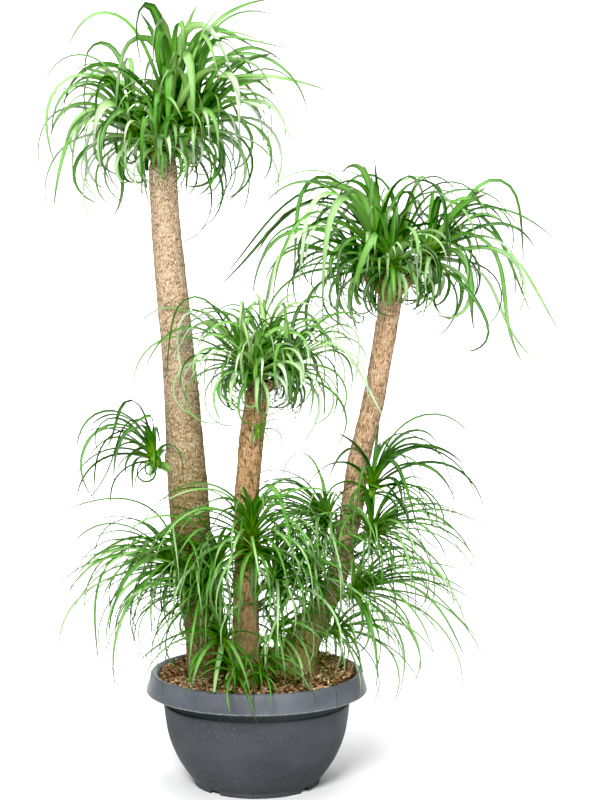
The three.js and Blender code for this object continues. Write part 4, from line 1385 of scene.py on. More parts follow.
@dataclass
class LeafHead:
    """One head of leaves in a spiral round its axis: young ones upright inside, old ones low and hanging.

    lean and toward tilt the axis. splay is how far the oldest leaf opens, core how long the axis is, and shy how
    much shorter the leaves are that come to the front. Upright is the bend of the youngest leaf, softness the
    least ease, droop scales every fall and curl is the most that an old one curls under, in degrees. Lightness
    moves every tone and variety spreads them.

    Strays are single leaves of (compass angle, rise, fall, bend, length, width), angles in degrees. One that
    falls by more than 200 degrees is a coil, whose turn is spread along it. The chief leaves are the ones that
    make the head's outline, of (compass angle, rise, fall, bend, ease, curl, length, width).
    """

    at: Triple
    lean: float
    toward: float
    leaves: int
    seed: int
    length: float
    width: float
    splay: float = 96.0
    core: float = 0.034
    droop: float = 1.0
    curl: float = 310.0
    upright: float = 0.66
    softness: float = 0.16
    shy: float = 0.5
    lightness: float = 0.0
    variety: float = 1.0
    strays: Rows = ()
    chief: Rows = ()

    def axis(self) -> Array:
        """The upright leaned towards the head's compass angle."""
        lean = math.radians(self.lean)
        return compass(self.toward) * math.sin(lean) + UP * math.cos(lean)

    def tones(self, drawn: Array) -> Array:
        """Leaf tones from 0 to 1: the draw spread by variety about the middle, and moved by lightness."""
        return np.clip(0.5 + self.variety * (drawn - 0.5) + self.lightness, 0, 1)

    def spiral(self) -> LeafSet:
        """The spiral's leaves. Leaf i stands at i golden angles round the axis and opens by its age to the power
        0.8, and its rise, fall, bend, length and width follow its age with a repeatable draw.

        Returns:
            The leaves, from the youngest.
        """
        index = np.arange(self.leaves)

        def pick(use: Use) -> Array:
            """A repeatable number from 0 to 1 for each of the spiral's leaves."""
            return draw(self.seed, index, use)

        age = (index + 0.5) / self.leaves
        old = np.maximum(0, age - 0.5) / 0.5
        axis = self.axis()
        across = unit(np.cross(BACK, axis))
        turn = np.radians(index * GOLDEN_ANGLE + 24 * (pick(Use.TURN) - 0.5))[:, None]
        opening = np.radians(4 + self.splay * age**0.8 + 9 * (pick(Use.OPENING) - 0.5))[:, None]
        out = across * np.cos(turn) + np.cross(axis, across) * np.sin(turn)
        way = axis * np.cos(opening) + np.sin(opening) * out
        fall = 12 + 62 * age**0.55 + 36 * pick(Use.FALL) + 30 * old * pick(Use.OLD_FALL) ** 1.5
        swell = (0.7 + 0.3 * np.sin(math.pi * age**0.8)) * (0.76 + 0.4 * pick(Use.LENGTH)) * (1 - 0.35 * old)
        swell = swell * (1 - self.shy * np.maximum(0, -way[:, 1]) ** 1.2)
        curl = self.curl * (0.08 + 0.92 * age**1.5) * (0.25 + 0.75 * pick(Use.CURL))
        return LeafSet(
            start=np.array(self.at) + axis * (self.core * (0.9 - 0.8 * age))[:, None] + way * self.width * 0.4,
            azimuth=np.arctan2(way[:, 1], way[:, 0]),
            rise=np.arcsin(np.clip(way[:, 2], -1, 1)),
            fall=-np.radians(self.droop * fall),
            bend=self.upright - (self.upright - 0.3) * age + 0.2 * (pick(Use.BEND) - 0.5),
            ease=self.softness + 0.2 * pick(Use.EASE) + 0.1 * age,
            length=self.length * swell,
            width=self.width * (0.75 + 0.35 * pick(Use.WIDTH)) * (1.1 - 0.3 * age),
            sweep=np.radians((80 + 80 * age) * (pick(Use.SWEEP) - 0.5)),
            twist=np.radians(200 * (pick(Use.TWIST) - 0.5)),
            curl=np.radians(curl),
            hold=np.full(self.leaves, 1.5),
            tone=self.tones(pick(Use.TONE)),
        )

    def single_leaves(self) -> LeafSet:
        """The single leaves, as their rows say. Strays start at seven places down the core and chief leaves
        half-way up it.

        Returns:
            The strays, then the chief leaves.
        """
        plain = np.array(self.strays).reshape(-1, 6)
        chief = np.array(self.chief).reshape(-1, 8)
        ease = np.where(plain[:, 2] < COIL_FALL, 0.6, 0.13)
        rows = np.concatenate([np.insert(plain, [4, 4], np.stack([ease, 0 * ease], axis=1), axis=1), chief])
        azimuth, rise, fall, curl = np.radians(rows[:, [0, 1, 2, 5]]).T
        way = compass(rows[:, 0]) * np.cos(rise)[:, None] + np.sin(rise)[:, None] * UP
        index = np.arange(len(rows))
        up = self.core * np.where(index < len(plain), 0.9 - 0.13 * (index % 7), 0.5)
        drawn = 2 * draw(self.seed, index, Use.SINGLE_TWIST) - 1
        return LeafSet(
            start=np.array(self.at) + self.axis() * up[:, None] + way * self.width * 0.4,
            azimuth=azimuth,
            rise=rise,
            fall=fall,
            bend=rows[:, 3],
            ease=rows[:, 4],
            length=rows[:, 6],
            width=rows[:, 7],
            sweep=np.zeros(len(rows)),
            twist=np.radians(50 * np.sign(drawn) + 60 * drawn),
            curl=curl,
            hold=np.full(len(rows), 2.5),
            tone=self.tones(draw(self.seed, index, Use.SINGLE_TONE)),
        )

    def heart(self) -> Patch:
        """The head's leafy core: a tube along the axis, whose radius shrinks with the square of the way up.

        Returns:
            The tube, with a middling tone.
        """
        share = np.linspace(0, 1, 7)
        centres = np.array(self.at) + self.axis() * self.core * 1.3 * share[:, None]
        patch = tube(centres, (0.55 * self.width + 0.003) * (1 - share**2 * 0.75), 9)
        patch.tone = np.full(len(patch.points), 0.4)
        return patch


def leaf_paths(leaves: LeafSet, ground: Surroundings, steps: int) -> tuple[Array, Array, Array]:
    """Follows every leaf at once.

    The slope goes from rise to fall as a tanh step round the bend and is lowered by curl times way^2.2, the
    compass angle sweeps with the square of the way, and the points are the running sum of the steps. A leaf that
    would sink is lifted by the greatest depth that it has had so far below the ground, so that it lies there and
    then runs on. One that hangs over the rim is pushed out past it.

    Args:
        leaves: how they grow.
        ground: what they lie on.
        steps: how many steps a leaf has.

    Returns:
        Points, level sideways vectors and upper-side vectors, each as leaf by station by 3.
    """
    way = np.linspace(0, 1, steps + 1)
    bend, ease = leaves.bend[:, None], leaves.ease[:, None]
    start, end = np.tanh((0 - bend) / ease), np.tanh((1 - bend) / ease)
    turned = (np.tanh((way - bend) / ease) - start) / (end - start)
    slope = leaves.rise[:, None] + (leaves.fall - leaves.rise)[:, None] * turned - leaves.curl[:, None] * way**2.2
    azimuth = leaves.azimuth[:, None] + leaves.sweep[:, None] * way**2
    level = np.stack([np.cos(azimuth), np.sin(azimuth), np.zeros_like(azimuth)], axis=-1)
    step = (level * np.cos(slope)[..., None] + UP * np.sin(slope)[..., None]) * (leaves.length / steps)[:, None, None]
    points = leaves.start[:, None] + np.concatenate([step[:, :1] * 0, np.cumsum(step[:, :-1], axis=1)], axis=1)
    x, y, z = points[..., 0], points[..., 1], points[..., 2]
    outside = np.maximum.accumulate(np.hypot(x, y) > ground.rim_reach, axis=1)
    floor = np.where(outside & (z < ground.bowl.rim_top), ground.nothing_below, ground.ground(x, y))
    points[..., 2] = z + np.maximum(np.maximum.accumulate(floor - z, axis=1), 0)
    low = outside & (points[..., 2] < ground.rim_level)
    push = np.where(low, np.maximum(1, ground.rim_reach / np.maximum(np.hypot(x, y), 1e-6)), 1)
    points[..., :2] *= push[..., None]
    side = np.stack([-level[..., 1], level[..., 0], level[..., 2]], axis=-1)
    upper = -level * np.sin(slope)[..., None] + UP * np.cos(slope)[..., None]
    return points, side, upper


def blades(leaves: LeafSet, ground: Surroundings, steps: int) -> Patch:
    """Leaves as closed blades of a shallow V section.

    The half-width grows from 0.72 at the root to 1 at a seventh of the way and tapers as 1 - way^hold. The
    section is the left edge, the fold, the right edge and the back of the fold, turned about the leaf by twist
    times the way. The fold's depth goes from 0.62 of the half-width at the root to 0.26 at the tip.

    Args:
        leaves: how they grow.
        ground: what they keep clear of.
        steps: how many steps a leaf has.

    Returns:
        One patch with a tone for each leaf. Its hang is 0 where a leaf rises and grows as it falls.
    """
    way = np.linspace(0, 1, steps + 1)
    leaves = leaves.only(ground.clear(leaf_paths(leaves, ground, steps)[0], way))
    points, side, upper = leaf_paths(leaves, ground, steps)
    turn = (leaves.twist[:, None] * way)[..., None]
    side, upper = side * np.cos(turn) + upper * np.sin(turn), upper * np.cos(turn) - side * np.sin(turn)
    width = (0.72 + 0.28 * np.minimum(1, way / 0.14)) * (1 - way ** leaves.hold[:, None])
    half = leaves.width[:, None] / 2 * width + LEAST_HALF_WIDTH
    fold = half * (0.62 - 0.36 * way)
    thick = np.full_like(half, TIP_THICKNESS) + ROOT_THICKER_BY * (1 - way)
    across = BLADE_SECTION[:, 0]
    out = half[..., None] * across
    up = fold[..., None] * np.abs(across) + thick[..., None] * BLADE_SECTION[:, 1]
    corners = points[:, :, None] + side[:, :, None] * out[..., None] + upper[:, :, None] * up[..., None]
    along = unit(np.gradient(points, axis=1))
    # The share of painted sheen: it grows as the leaf falls, and more on lighter leaves.
    hang_sheen = smooth_step(-along[..., 2], -0.2, 0.7) * smooth_step(leaves.tone, 0.3, 1.0)[:, None]
    stations, last = steps + 1, BLADE_SIDES * steps
    ends = [[3, 2, 1, 0], [last, last + 1, last + 2, last + 3]]
    shell = np.concatenate([grid_quads(stations, BLADE_SIDES, closed=True), ends])
    quads = (shell[None] + BLADE_SIDES * stations * np.arange(len(points))[:, None, None]).reshape(-1, 4)

    def at_corners(values: Array) -> Array:
        """Values spread over leaf by station by corner."""
        return np.broadcast_to(values, corners.shape[:3]).ravel()

    return Patch(
        corners.reshape(-1, 3),
        quads,
        tone=at_corners(leaves.tone[:, None, None]),
        way=at_corners(way[None, :, None]),
        across=at_corners(across),
        hang_sheen=at_corners(hang_sheen[..., None]),
        edge=at_corners(BLADE_EDGES),
    )


@dataclass
class Foliage:
    """The leaves that one CAD node stands for, with the stems that carry them.

    steps is how many steps a leaf has, stem_slot is 0 for leafy stems and 1 for woody ones, and stem_sides is
    how many sides a stem has.
    """

    node: str
    trunk: Trunk
    heads: list[LeafHead]
    steps: ClassVar[int]
    stem_slot: ClassVar[int]
    stem_sides: ClassVar[int] = 12

    def stems(self) -> list[Patch]:
        """The stems, which each kind of foliage has of its own."""
        raise NotImplementedError

    def build(self, ground: Surroundings, leaf: bpy.types.Material, bark: bpy.types.Material) -> bpy.types.Object:
        """Makes one piece of blades, hearts and stems, and dresses it.

        Args:
            ground: what the leaves lie on and keep clear of.
            leaf: the leaves' finish.
            bark: the woody stems' finish.

        Returns:
            The piece.
        """
        sets = [s for head in self.heads for s in (head.spiral(), head.single_leaves()) if len(s.azimuth)]
        stems = self.stems()
        for stem in stems:
            stem.slot = self.stem_slot
            stem.grain = stem.points
            stem.tone, stem.way = (np.full(len(stem.points), value) for value in (0.2, 0.15))
        hearts = [head.heart() for head in self.heads]
        patches = [blades(LeafSet.together(sets), ground, self.steps), *hearts, *stems]
        made = piece(f"leaves_{self.node}", patches, [leaf, bark])
        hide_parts(self.node)
        return made


@dataclass
class Crown(Foliage):
    """A trunk's crown: a low dome on the trunk's top and a woody stem to each head.

    The dome starts dome_from over the trunk's top and loses dome_taper of its radius. A stem starts stem_from
    over the top, ends stem_into the head and loses stem_taper of its radius in metres.
    """

    dome_from: float = 0.0005
    dome_height: float = 0.020
    dome_taper: float = 0.45
    dome_sides: int = 28
    stem_radius: float = 0.0135
    stem_taper: float = 0.002
    stem_from: float = 0.004
    stem_into: float = 0.006
    steps: ClassVar[int] = 17
    stem_slot: ClassVar[int] = 1

    def stems(self) -> list[Patch]:
        """The dome, whose radius shrinks with the square of the way up, and a straight tube to each head.

        Returns:
            The dome and the stems.
        """
        share = np.linspace(0, 1, 6)
        top = self.trunk.tip
        up = unit(self.trunk.table[-1, :3] - self.trunk.table[-8, :3])
        radii = self.trunk.stations[-1, 3] * (1.0 - self.dome_taper * share**2)
        made = [tube(top + up * (self.dome_from + self.dome_height * share[:, None]), radii, self.dome_sides)]
        base = top + up * self.stem_from
        for head in self.heads:
            end = np.array(head.at) + head.axis() * self.stem_into
            radii = self.stem_radius - self.stem_taper * share
            made.append(tube(base + (end - base) * share[:, None], radii, self.stem_sides))
        return made


@dataclass
class Shoot(Foliage):
    """A shoot that leaves the bark at a height and a compass angle, on a short leafy stem.

    stem is how far off the bark its head sits. The stem starts stem_sunk inside the bark, lower than the head's
    side by stem_drop of that distance, and ends stem_into the head.
    """

    height: float
    side: float
    stem: float
    stem_sunk: float = 0.006
    stem_drop: float = 0.3
    stem_into: float = 0.003
    steps: ClassVar[int] = 14
    stem_slot: ClassVar[int] = 0

    def stems(self) -> list[Patch]:
        """The stem, a straight tube from inside the bark to the head, thicker at its foot.

        Returns:
            The one stem.
        """
        head, share = self.heads[0], np.linspace(0, 1, 6)
        foot = self.trunk.beside(self.height, self.side, -self.stem_sunk) - UP * (self.stem * self.stem_drop)
        end = np.array(head.at) + head.axis() * self.stem_into
        swell = (head.width * 0.62 + 0.003) * (0.95 - 0.25 * share + 0.35 * (1 - share) ** 3)
        return [tube(foot + (end - foot) * share[:, None], swell, self.stem_sides)]


# Rows of chief leaves by the head that has them, as LeafHead gives their columns.
CHIEF_LEAVES: dict[str, Rows] = {
    "tall_first": (
        (235, 85, -60, 0.61, 0.09, 60, 0.444, 0.026), (259, 80, -136, 0.54, 0.14, 14, 0.428, 0.026),
        (291, 77, -132, 0.68, 0.11, -24, 0.348, 0.022), (247, 88, -71, 0.47, 0.05, 35, 0.273, 0.024),
        (339, 75, -133, 0.66, 0.05, -34, 0.278, 0.018), (321, 67, 40, 0.79, 0.13, 16, 0.318, 0.007),
        (12, 72, 52, 0.58, 0.09, 57, 0.412, 0.012), (190, 58, -57, 0.33, 0.30, 46, 0.246, 0.018),
        (190, 63, 59, 0.28, 0.21, 92, 0.214, 0.019),
    ),
    "tall_left": (
        (151, 84, -30, 0.71, 0.16, 84, 0.331, 0.015), (206, 79, -90, 0.51, 0.47, 3, 0.320, 0.012),
        (161, 81, -110, 0.74, 0.46, -28, 0.365, 0.005), (208, 81, -71, 0.12, 0.29, 14, 0.380, 0.015),
        (190, 87, -65, 0.36, 0.19, -15, 0.220, 0.014), (248, 47, -111, 0.64, 0.47, 7, 0.287, 0.024),
        (204, 14, -108, 0.11, 0.06, -60, 0.213, 0.012), (199, -4, -49, 0.14, 0.12, 93, 0.255, 0.011),
    ),
    "tall_right": (
        (4, 87, 60, 0.66, 0.26, 98, 0.375, 0.008), (358, 88, -15, 0.46, 0.13, -3, 0.393, 0.007),
        (319, 82, -57, 0.53, 0.14, -26, 0.359, 0.008), (285, 87, -5, 0.36, 0.17, 70, 0.490, 0.013),
        (1, 85, -6, 0.15, 0.29, 14, 0.370, 0.017), (352, 84, -6, 0.34, 0.25, 86, 0.434, 0.010),
        (359, 65, -140, 0.63, 0.46, -43, 0.351, 0.009), (339, 46, 2, 0.24, 0.16, 90, 0.302, 0.012),
    ),
    "right_first": (
        (223, 82, -84, 0.77, 0.22, -30, 0.266, 0.020), (249, 42, -94, 0.48, 0.24, -1, 0.584, 0.019),
        (150, 88, -70, 0.21, 0.39, -26, 0.566, 0.011), (159, 65, -72, 0.42, 0.40, -12, 0.396, 0.011),
        (188, 71, -5, 0.53, 0.21, 38, 0.367, 0.005), (234, 30, -28, 0.48, 0.17, 65, 0.522, 0.009),
        (20, 86, 51, 0.48, 0.12, 95, 0.279, 0.005), (19, 64, -104, 0.66, 0.08, -43, 0.220, 0.018),
        (217, 5, 32, 0.64, 0.21, 105, 0.262, 0.015), (230, 5, -54, 0.10, 0.28, 62, 0.265, 0.012),
        (152, 74, -66, 0.24, 0.31, -30, 0.538, 0.012), (204, 37, -93, 0.46, 0.31, -13, 0.388, 0.011),
    ),
    "right_outer": (
        (0, 88, 36, 0.41, 0.08, 102, 0.300, 0.008), (1, 76, -27, 0.20, 0.48, 20, 0.354, 0.009),
        (29, 62, -67, 0.30, 0.18, -5, 0.447, 0.010), (354, 56, -113, 0.21, 0.27, -60, 0.431, 0.016),
        (13, -4, -83, 0.29, 0.17, -50, 0.363, 0.010), (310, 30, -127, 0.33, 0.33, -56, 0.274, 0.017),
        (301, -20, -92, 0.69, 0.05, 103, 0.386, 0.009), (29, 54, -35, 0.29, 0.26, 67, 0.365, 0.009),
    ),
    "right_front": (
        (246, 46, -19, 0.26, 0.05, 83, 0.361, 0.018), (286, 43, -36, 0.44, 0.44, 112, 0.273, 0.015),
    ),
    "left_shoot": (
        (151, 76, -98, 0.48, 0.13, -45, 0.287, 0.011), (176, 74, -129, 0.59, 0.43, -38, 0.294, 0.007),
        (208, 69, -91, 0.35, 0.50, 48, 0.345, 0.009), (218, 58, -97, 0.62, 0.27, 67, 0.285, 0.010),
        (178, 77, -101, 0.26, 0.35, -13, 0.293, 0.008), (245, 68, -35, 0.29, 0.45, 76, 0.286, 0.011),
        (193, 87, -90, 0.27, 0.12, -60, 0.341, 0.008), (223, 88, -16, 0.53, 0.05, 6, 0.170, 0.009),
        (198, 70, -25, 0.16, 0.24, 97, 0.114, 0.009),
    ),
    "side_shoot": (
        (208, 81, 60, 0.32, 0.16, 47, 0.169, 0.011), (158, 50, 0, 0.77, 0.18, -19, 0.232, 0.007),
        (352, 77, -38, 0.72, 0.49, 32, 0.335, 0.007), (20, 72, -35, 0.77, 0.41, 48, 0.249, 0.008),
        (330, 72, -18, 0.11, 0.42, 85, 0.396, 0.010), (305, 62, -50, 0.43, 0.44, 75, 0.475, 0.007),
        (292, 47, -55, 0.44, 0.19, -8, 0.367, 0.011), (289, 61, -74, 0.26, 0.35, -26, 0.413, 0.010),
        (312, 30, -56, 0.11, 0.10, -59, 0.278, 0.009), (336, 25, -55, 0.19, 0.50, 36, 0.201, 0.008),
        (165, 41, 19, 0.20, 0.48, 120, 0.176, 0.010), (158, 42, -4, 0.57, 0.46, 33, 0.190, 0.007),
        (73, 72, 60, 0.57, 0.24, -1, 0.176, 0.009),
    ),
    "middle_front": (
        (256, 85, -31, 0.36, 0.23, 59, 0.414, 0.011), (297, 88, -102, 0.36, 0.26, -42, 0.452, 0.011),
        (288, 83, -55, 0.16, 0.41, 40, 0.450, 0.010), (241, 67, -84, 0.35, 0.29, -20, 0.369, 0.010),
    ),
    "tall_middle": (
        (181, 52, -108, 0.10, 0.44, -13, 0.407, 0.008), (235, -2, -45, 0.11, 0.43, 75, 0.366, 0.008),
        (157, 59, -58, 0.15, 0.33, -18, 0.365, 0.007), (195, 88, -22, 0.35, 0.41, -1, 0.349, 0.007),
        (257, -20, -51, 0.74, 0.16, 16, 0.407, 0.009), (245, 29, -5, 0.16, 0.18, 118, 0.411, 0.008),
    ),
    "right_middle": (
        (337, 30, -91, 0.35, 0.50, -28, 0.345, 0.008), (336, 39, -44, 0.43, 0.15, 34, 0.376, 0.008),
        (290, -20, -40, 0.13, 0.29, 89, 0.265, 0.009),
    ),
}

# What every shoot's head has unless its own line says otherwise.
SHOOT_HABIT: dict[str, float] = {
    "width": 0.009, "splay": 88.0, "core": 0.024, "droop": 0.80, "curl": 250.0, "upright": 0.50, "softness": 0.34,
    "variety": 0.6,
}


def make_crowns(trunks: dict[str, Trunk]) -> list[Crown]:
    """Sets out the three crowns.

    Args:
        trunks: the trunks that they stand on.

    Returns:
        The crowns.
    """
    tall = [
        LeafHead(
            at=(-0.189, -0.010, 1.456), lean=4, toward=10, leaves=40, seed=11, length=0.420, width=0.020,
            lightness=0.12, chief=CHIEF_LEAVES["tall_first"], strays=(
                (255, 87, -86, 0.52, 0.420, 0.024), (205, 84, -84, 0.48, 0.400, 0.023),
                (335, 84, -66, 0.58, 0.380, 0.023), (300, 82, -88, 0.44, 0.380, 0.025),
                (20, 76, -30, 0.62, 0.360, 0.022), (270, 80, -94, 0.38, 0.380, 0.024),
                (10, 68, -40, 0.5, 0.360, 0.022), (350, 80, 60, 0.8, 0.260, 0.024),
                (180, 80, 50, 0.8, 0.250, 0.024))),
        LeafHead(
            at=(-0.262, 0.000, 1.440), lean=26, toward=185, leaves=38, seed=12, length=0.330, width=0.019,
            lightness=0.12, chief=CHIEF_LEAVES["tall_left"], strays=(
                (160, 70, 10, 0.6, 0.200, 0.018), (210, 66, 0, 0.6, 0.190, 0.018),
                (240, 60, -90, 0.5, 0.300, 0.018))),
        LeafHead(
            at=(-0.150, -0.008, 1.455), lean=32, toward=352, leaves=40, seed=13, length=0.350, width=0.019,
            lightness=0.12, chief=CHIEF_LEAVES["tall_right"], strays=(
                (350, 58, 12, 0.6, 0.240, 0.021), (5, 46, 0, 0.6, 0.230, 0.020), (330, 40, 10, 0.6, 0.210, 0.021),
                (312, 52, -90, 0.5, 0.330, 0.020))),
        LeafHead(
            at=(-0.212, -0.036, 1.424), lean=40, toward=262, leaves=32, seed=14, length=0.250, width=0.014,
            lightness=0.12, strays=((264, 22, -96, 0.4, 0.400, 0.013),)),
        LeafHead(
            at=(-0.192, 0.044, 1.430), lean=34, toward=80, leaves=43, seed=15, length=0.370, width=0.019,
            lightness=0.05, strays=((88, 34, -86, 0.42, 0.420, 0.012), (62, 48, -64, 0.4, 0.380, 0.011))),
    ]
    middle = [
        LeafHead(
            at=(-0.020, -0.086, 0.940), lean=16, toward=178, leaves=58, seed=21, length=0.300, width=0.012,
            lightness=0.12, strays=((182, 58, -98, 0.4, 0.370, 0.009), (192, 64, -84, 0.46, 0.380, 0.008))),
        LeafHead(
            at=(0.022, -0.068, 0.946), lean=8, toward=60, leaves=55, seed=22, length=0.300, width=0.012,
            lightness=0.08),
        LeafHead(
            at=(0.056, -0.092, 0.930), lean=32, toward=355, leaves=58, seed=23, length=0.295, width=0.012,
            lightness=0.12, strays=((352, 34, -62, 0.3, 0.330, 0.008), (5, 46, -100, 0.46, 0.340, 0.009))),
        LeafHead(
            at=(0.002, -0.122, 0.926), lean=30, toward=265, leaves=46, seed=24, length=0.250, width=0.012, shy=0.3,
            lightness=0.12),
    ]
    right = [
        LeafHead(
            at=(0.272, -0.006, 1.180), lean=10, toward=185, leaves=42, seed=31, length=0.370, width=0.018,
            lightness=-0.12, chief=CHIEF_LEAVES["right_first"], strays=(
                (176, 64, -88, 0.44, 0.440, 0.014), (205, 58, -84, 0.4, 0.420, 0.013),
                (100, 84, 66, 0.8, 0.220, 0.024), (220, 82, 58, 0.8, 0.200, 0.024),
                (190, 70, 10, 0.6, 0.240, 0.022), (260, 74, -88, 0.5, 0.380, 0.020))),
        LeafHead(
            at=(0.376, 0.000, 1.172), lean=34, toward=356, leaves=42, seed=32, length=0.330, width=0.017,
            lightness=-0.1, chief=CHIEF_LEAVES["right_outer"], strays=(
                (10, 58, -86, 0.5, 0.430, 0.012), (340, 10, -60, 0.4, 0.380, 0.010),
                (330, 60, 20, 0.6, 0.200, 0.021), (20, 60, 30, 0.6, 0.210, 0.021),
                (280, 62, -80, 0.5, 0.340, 0.018))),
        LeafHead(
            at=(0.322, 0.046, 1.176), lean=20, toward=75, leaves=45, seed=33, length=0.370, width=0.016,
            strays=((84, 34, -84, 0.4, 0.400, 0.012),)),
        LeafHead(
            at=(0.300, -0.044, 1.156), lean=40, toward=264, leaves=40, seed=34, length=0.290, width=0.015,
            lightness=-0.05, chief=CHIEF_LEAVES["right_front"]),
        LeafHead(
            at=(0.248, 0.026, 1.150), lean=46, toward=165, leaves=34, seed=35, length=0.325, width=0.015,
            strays=((176, 26, -80, 0.36, 0.400, 0.011),)),
    ]
    heads = {"tall": tall, "middle": middle, "right": right}
    return [Crown(f"crown_{name}", trunks[name], heads[name]) for name in heads]


def shoot(node: str, trunk: Trunk, height: float, side: float, stem: float, **values: object) -> Shoot:
    """Sets out one shoot.

    Args:
        node: the CAD node that it stands for.
        trunk: the trunk that it grows from.
        height: the height where it leaves the bark.
        side: the compass angle of that side.
        stem: how far off the bark its head sits.
        values: what its head has, over the habit that all shoots share.

    Returns:
        The shoot.
    """
    head = LeafHead(at=tuple(trunk.beside(height, side, stem)), **{**SHOOT_HABIT, **values})
    return Shoot(node, trunk, [head], height, side, stem)


def make_shoots(trunks: dict[str, Trunk]) -> list[Shoot]:
    """Sets out the shoots part-way up the trunks, the leafy ones round their feet and the sprouts on the mulch.

    Args:
        trunks: the trunks that they grow from.

    Returns:
        The shoots.
    """
    tall, middle, right = trunks["tall"], trunks["middle"], trunks["right"]
    return [
        shoot("shoot_tall_left", tall, 0.730, 205, 0.026, lean=34, toward=190, leaves=18, seed=41, length=0.230,
              width=0.013, splay=64, curl=70.0, lightness=-0.35, chief=CHIEF_LEAVES["left_shoot"], strays=(
                  (300, 30, -460, 0.5, 0.150, 0.007), (230, -20, -520, 0.5, 0.130, 0.007),
                  (190, -10, -400, 0.5, 0.160, 0.006), (262, 10, -420, 0.5, 0.110, 0.005))),
        shoot("shoot_right_side", right, 0.660, 320, 0.022, lean=16, toward=345, leaves=22, seed=42, length=0.330,
              width=0.014, splay=72, curl=90.0, lightness=-0.4, chief=CHIEF_LEAVES["side_shoot"]),
        shoot("sprig_middle", middle, 0.806, 285, 0.008, lean=40, toward=300, leaves=16, seed=43, length=0.090,
              width=0.005, splay=80, curl=310.0),
        shoot("basal_middle_front", middle, 0.535, 285, 0.020, lean=18, toward=272, leaves=96, seed=51,
              length=0.320, core=0.075, droop=0.9, curl=150.0, shy=0.1, lightness=-0.1,
              chief=CHIEF_LEAVES["middle_front"]),
        shoot("basal_tall_upper", tall, 0.500, 318, 0.030, lean=34, toward=250, leaves=54, seed=52, length=0.330,
              width=0.010, shy=0.2, strays=((186, 34, -14, 0.3, 0.320, 0.008), (195, 40, -60, 0.36, 0.360, 0.009))),
        shoot("basal_tall_middle", tall, 0.500, 238, 0.020, lean=50, toward=205, leaves=51, seed=53, length=0.340,
              width=0.010, shy=0.3, chief=CHIEF_LEAVES["tall_middle"]),
        shoot("basal_tall_low", tall, 0.436, 285, 0.018, lean=50, toward=225, leaves=57, seed=54, length=0.310,
              width=0.010, shy=0.2),
        shoot("basal_middle_left", middle, 0.350, 205, 0.016, lean=50, toward=245, leaves=25, seed=55,
              length=0.230, width=0.014, curl=90.0, shy=0.1, lightness=-0.1),
        shoot("basal_middle_right", middle, 0.356, 8, 0.026, lean=44, toward=330, leaves=34, seed=56,
              length=0.250, shy=0.2),
        shoot("basal_middle_high", middle, 0.470, 12, 0.026, lean=40, toward=330, leaves=60, seed=57,
              length=0.320, shy=0.1),
        shoot("basal_right_inner", right, 0.462, 205, 0.022, lean=34, toward=235, leaves=60, seed=58,
              length=0.320, shy=0.1),
        shoot("basal_right_upper", right, 0.566, 345, 0.026, lean=40, toward=345, leaves=58, seed=59,
              length=0.320, shy=0.2),
        shoot("basal_right_middle", right, 0.436, 330, 0.024, lean=60, toward=355, leaves=45, seed=60,
              length=0.340, shy=0.3, strays=((358, 14, -46, 0.36, 0.320, 0.008),),
              chief=CHIEF_LEAVES["right_middle"]),
        shoot("basal_right_low", right, 0.352, 330, 0.022, lean=62, toward=335, leaves=30, seed=61,
              length=0.260, shy=0.4),
        shoot("basal_right_left", right, 0.590, 175, 0.018, lean=46, toward=215, leaves=76, seed=62,
              length=0.310, shy=0.1),
        shoot("sprout_front_left", middle, 0.276, 252, 0.008, lean=46, toward=262, leaves=20, seed=63,
              length=0.170, splay=78, curl=60.0, shy=0.0, lightness=-0.2),
        shoot("sprout_front_right", middle, 0.280, 312, 0.012, lean=40, toward=300, leaves=26, seed=64,
              length=0.150, width=0.007, splay=80, curl=60.0, shy=0.0, lightness=-0.2),
        shoot("basal_tall_back", tall, 0.430, 95, 0.020, lean=46, toward=105, leaves=39, seed=65, length=0.330,
              width=0.010),
        shoot("basal_right_back", right, 0.470, 85, 0.020, lean=42, toward=70, leaves=39, seed=66, length=0.330),
        shoot("basal_middle_back", middle, 0.372, 92, 0.020, lean=34, toward=60, leaves=31, seed=67, length=0.290),
    ]


# The studio


@dataclass(frozen=True)
class Lamp:
    """A square soft light: its name, its place, its side, its power in watts and the place that it faces."""

    name: str
    at: Triple
    side: float
    power: float
    towards: Triple = (0.05, 0.0, 0.85)

    def build(self) -> bpy.types.Object:
        """Makes the light.

        Returns:
            Its object.
        """
        data = bpy.data.lights.new(self.name, "AREA")
        data.size = self.side
        data.energy = self.power
        return placed(self.name, data, self.at, self.towards)


def placed(name: str, data: bpy.types.ID, at: Triple, towards: Triple) -> bpy.types.Object:
    """Puts a lamp or a camera in the scene.

    Args:
        name: its name.
        data: the lamp or the camera.
        at: where it stands.
        towards: the place that it faces.

    Returns:
        Its object.
    """
    made = bpy.data.objects.new(name, data)
    made.location = at
    made.rotation_euler = (Vector(towards) - Vector(at)).to_track_quat("-Z", "Y").to_euler()
    bpy.context.scene.collection.objects.link(made)
    return made


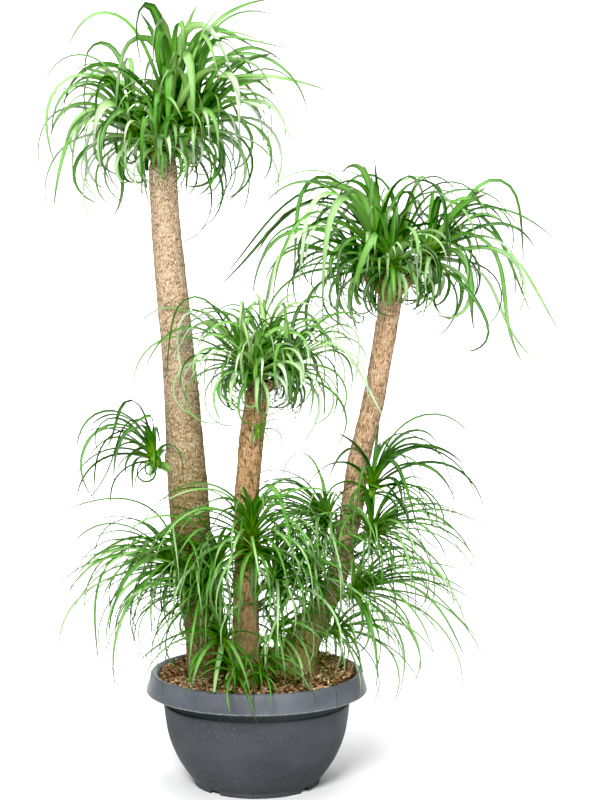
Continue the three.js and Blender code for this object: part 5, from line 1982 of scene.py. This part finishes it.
@dataclass
class Studio:
    """A pale sweep, soft light and the camera at the photograph's viewing angle.

    The sweep's floor is flat up to sweep_far behind the plant and then rises in a quarter circle of sweep_bend.
    """

    camera_at: Triple = (0.098, -4.5, 1.305)
    aim: Triple = (0.098, 0.0, 0.8725)
    focal_pixels: float = 2019.8
    frame_height: float = 800.0
    sensor: float = 36.0
    sweep_near: float = -9.0
    sweep_far: float = 6.0
    sweep_bend: float = 5.0
    sweep_top: float = 9.0
    sweep_side: float = 11.0
    world_strength: float = 0.12
    black_level: Triple = (0.010, 0.004, 0.010)
    lamps: tuple[Lamp, ...] = (
        Lamp("key", (-0.8, -4.3, 3.1), 1.5, 350.0),
        Lamp("fill", (2.2, -3.8, 2.2), 1.2, 55.0),
        Lamp("top", (0.0, -0.6, 4.2), 2.0, 150.0),
        Lamp("backdrop", (0.0, 3.6, 6.0), 5.0, 1150.0, (0.0, 9.6, 1.4)),
    )

    def camera(self) -> bpy.types.Object:
        """Makes the camera, whose lens follows from the focal length in pixels of the frame's long side.

        Returns:
            Its object.
        """
        data = bpy.data.cameras.new("camera")
        data.sensor_width = self.sensor
        data.lens = self.focal_pixels * self.sensor / self.frame_height
        made = placed("camera", data, self.camera_at, self.aim)
        bpy.context.scene.camera = made
        return made

    def sweep(self) -> bpy.types.Object:
        """Makes the floor, which curves up into a far wall: flat, then a quarter circle, then upright.

        Returns:
            Its object.
        """
        turn = np.linspace(0, math.pi / 2, 16)
        arc = np.stack([self.sweep_far + self.sweep_bend * np.sin(turn), self.sweep_bend * (1 - np.cos(turn))], axis=1)
        line = np.concatenate([[(self.sweep_near, 0.0)], arc, [(self.sweep_far + self.sweep_bend, self.sweep_top)]])
        points = np.empty((len(line), 2, 3))
        points[..., 0] = (-self.sweep_side, self.sweep_side)
        points[..., 1:] = line[:, None]
        quads = grid_quads(len(line), 2, closed=False)[:, ::-1]
        mesh = bpy.data.meshes.new("sweep")
        mesh.from_pydata(points.reshape(-1, 3).tolist(), [], quads.tolist())
        mesh.polygons.foreach_set("use_smooth", np.ones(len(mesh.polygons), bool))
        mesh.materials.append(PaperFinish().material())
        made = bpy.data.objects.new("sweep", mesh)
        bpy.context.scene.collection.objects.link(made)
        made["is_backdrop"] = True
        return made

    def build(self) -> None:
        """Makes the whole studio: the white world, the picture's black level, the camera, the floor and the lamps."""
        world = bpy.data.worlds.new("studio")
        world.use_nodes = True
        background = world.node_tree.nodes["Background"]
        background.inputs["Color"].default_value = (1.0, 1.0, 1.0, 1.0)
        background.inputs["Strength"].default_value = self.world_strength
        bpy.context.scene.world = world
        view = bpy.context.scene.view_settings
        view.view_transform = "Standard"
        view.use_curve_mapping = True
        view.curve_mapping.black_level = self.black_level
        view.curve_mapping.update()
        self.camera()
        self.sweep()
        for lamp in self.lamps:
            lamp.build()


def main() -> None:
    """Builds the studio, the bowl, its filling, the trunks and the foliage, and keeps the leaves within the CAD
    solids' box and a little over.
    """
    logging.basicConfig(level=logging.INFO, format="%(name)s: %(message)s")
    cad_low, cad_high = (np.array(corner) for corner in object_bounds())
    Studio().build()
    bowl = Bowl()
    filling = Filling(bowl.inside())
    bowl.build()
    trunks = make_trunks()
    for trunk in trunks.values():
        trunk.build()
    filling.build(list(trunks.values()))
    spare = 0.02 * (cad_high - cad_low)
    ground = Surroundings(bowl, filling, tuple(trunks.values()), cad_low - spare, cad_high + spare)
    leaf = LeafFinish().material()
    woody = MIDDLE_BARK.material()
    for foliage in [*make_crowns(trunks), *make_shoots(trunks)]:
        foliage.build(ground, leaf, woody)


if __name__ == "__main__":
    main()
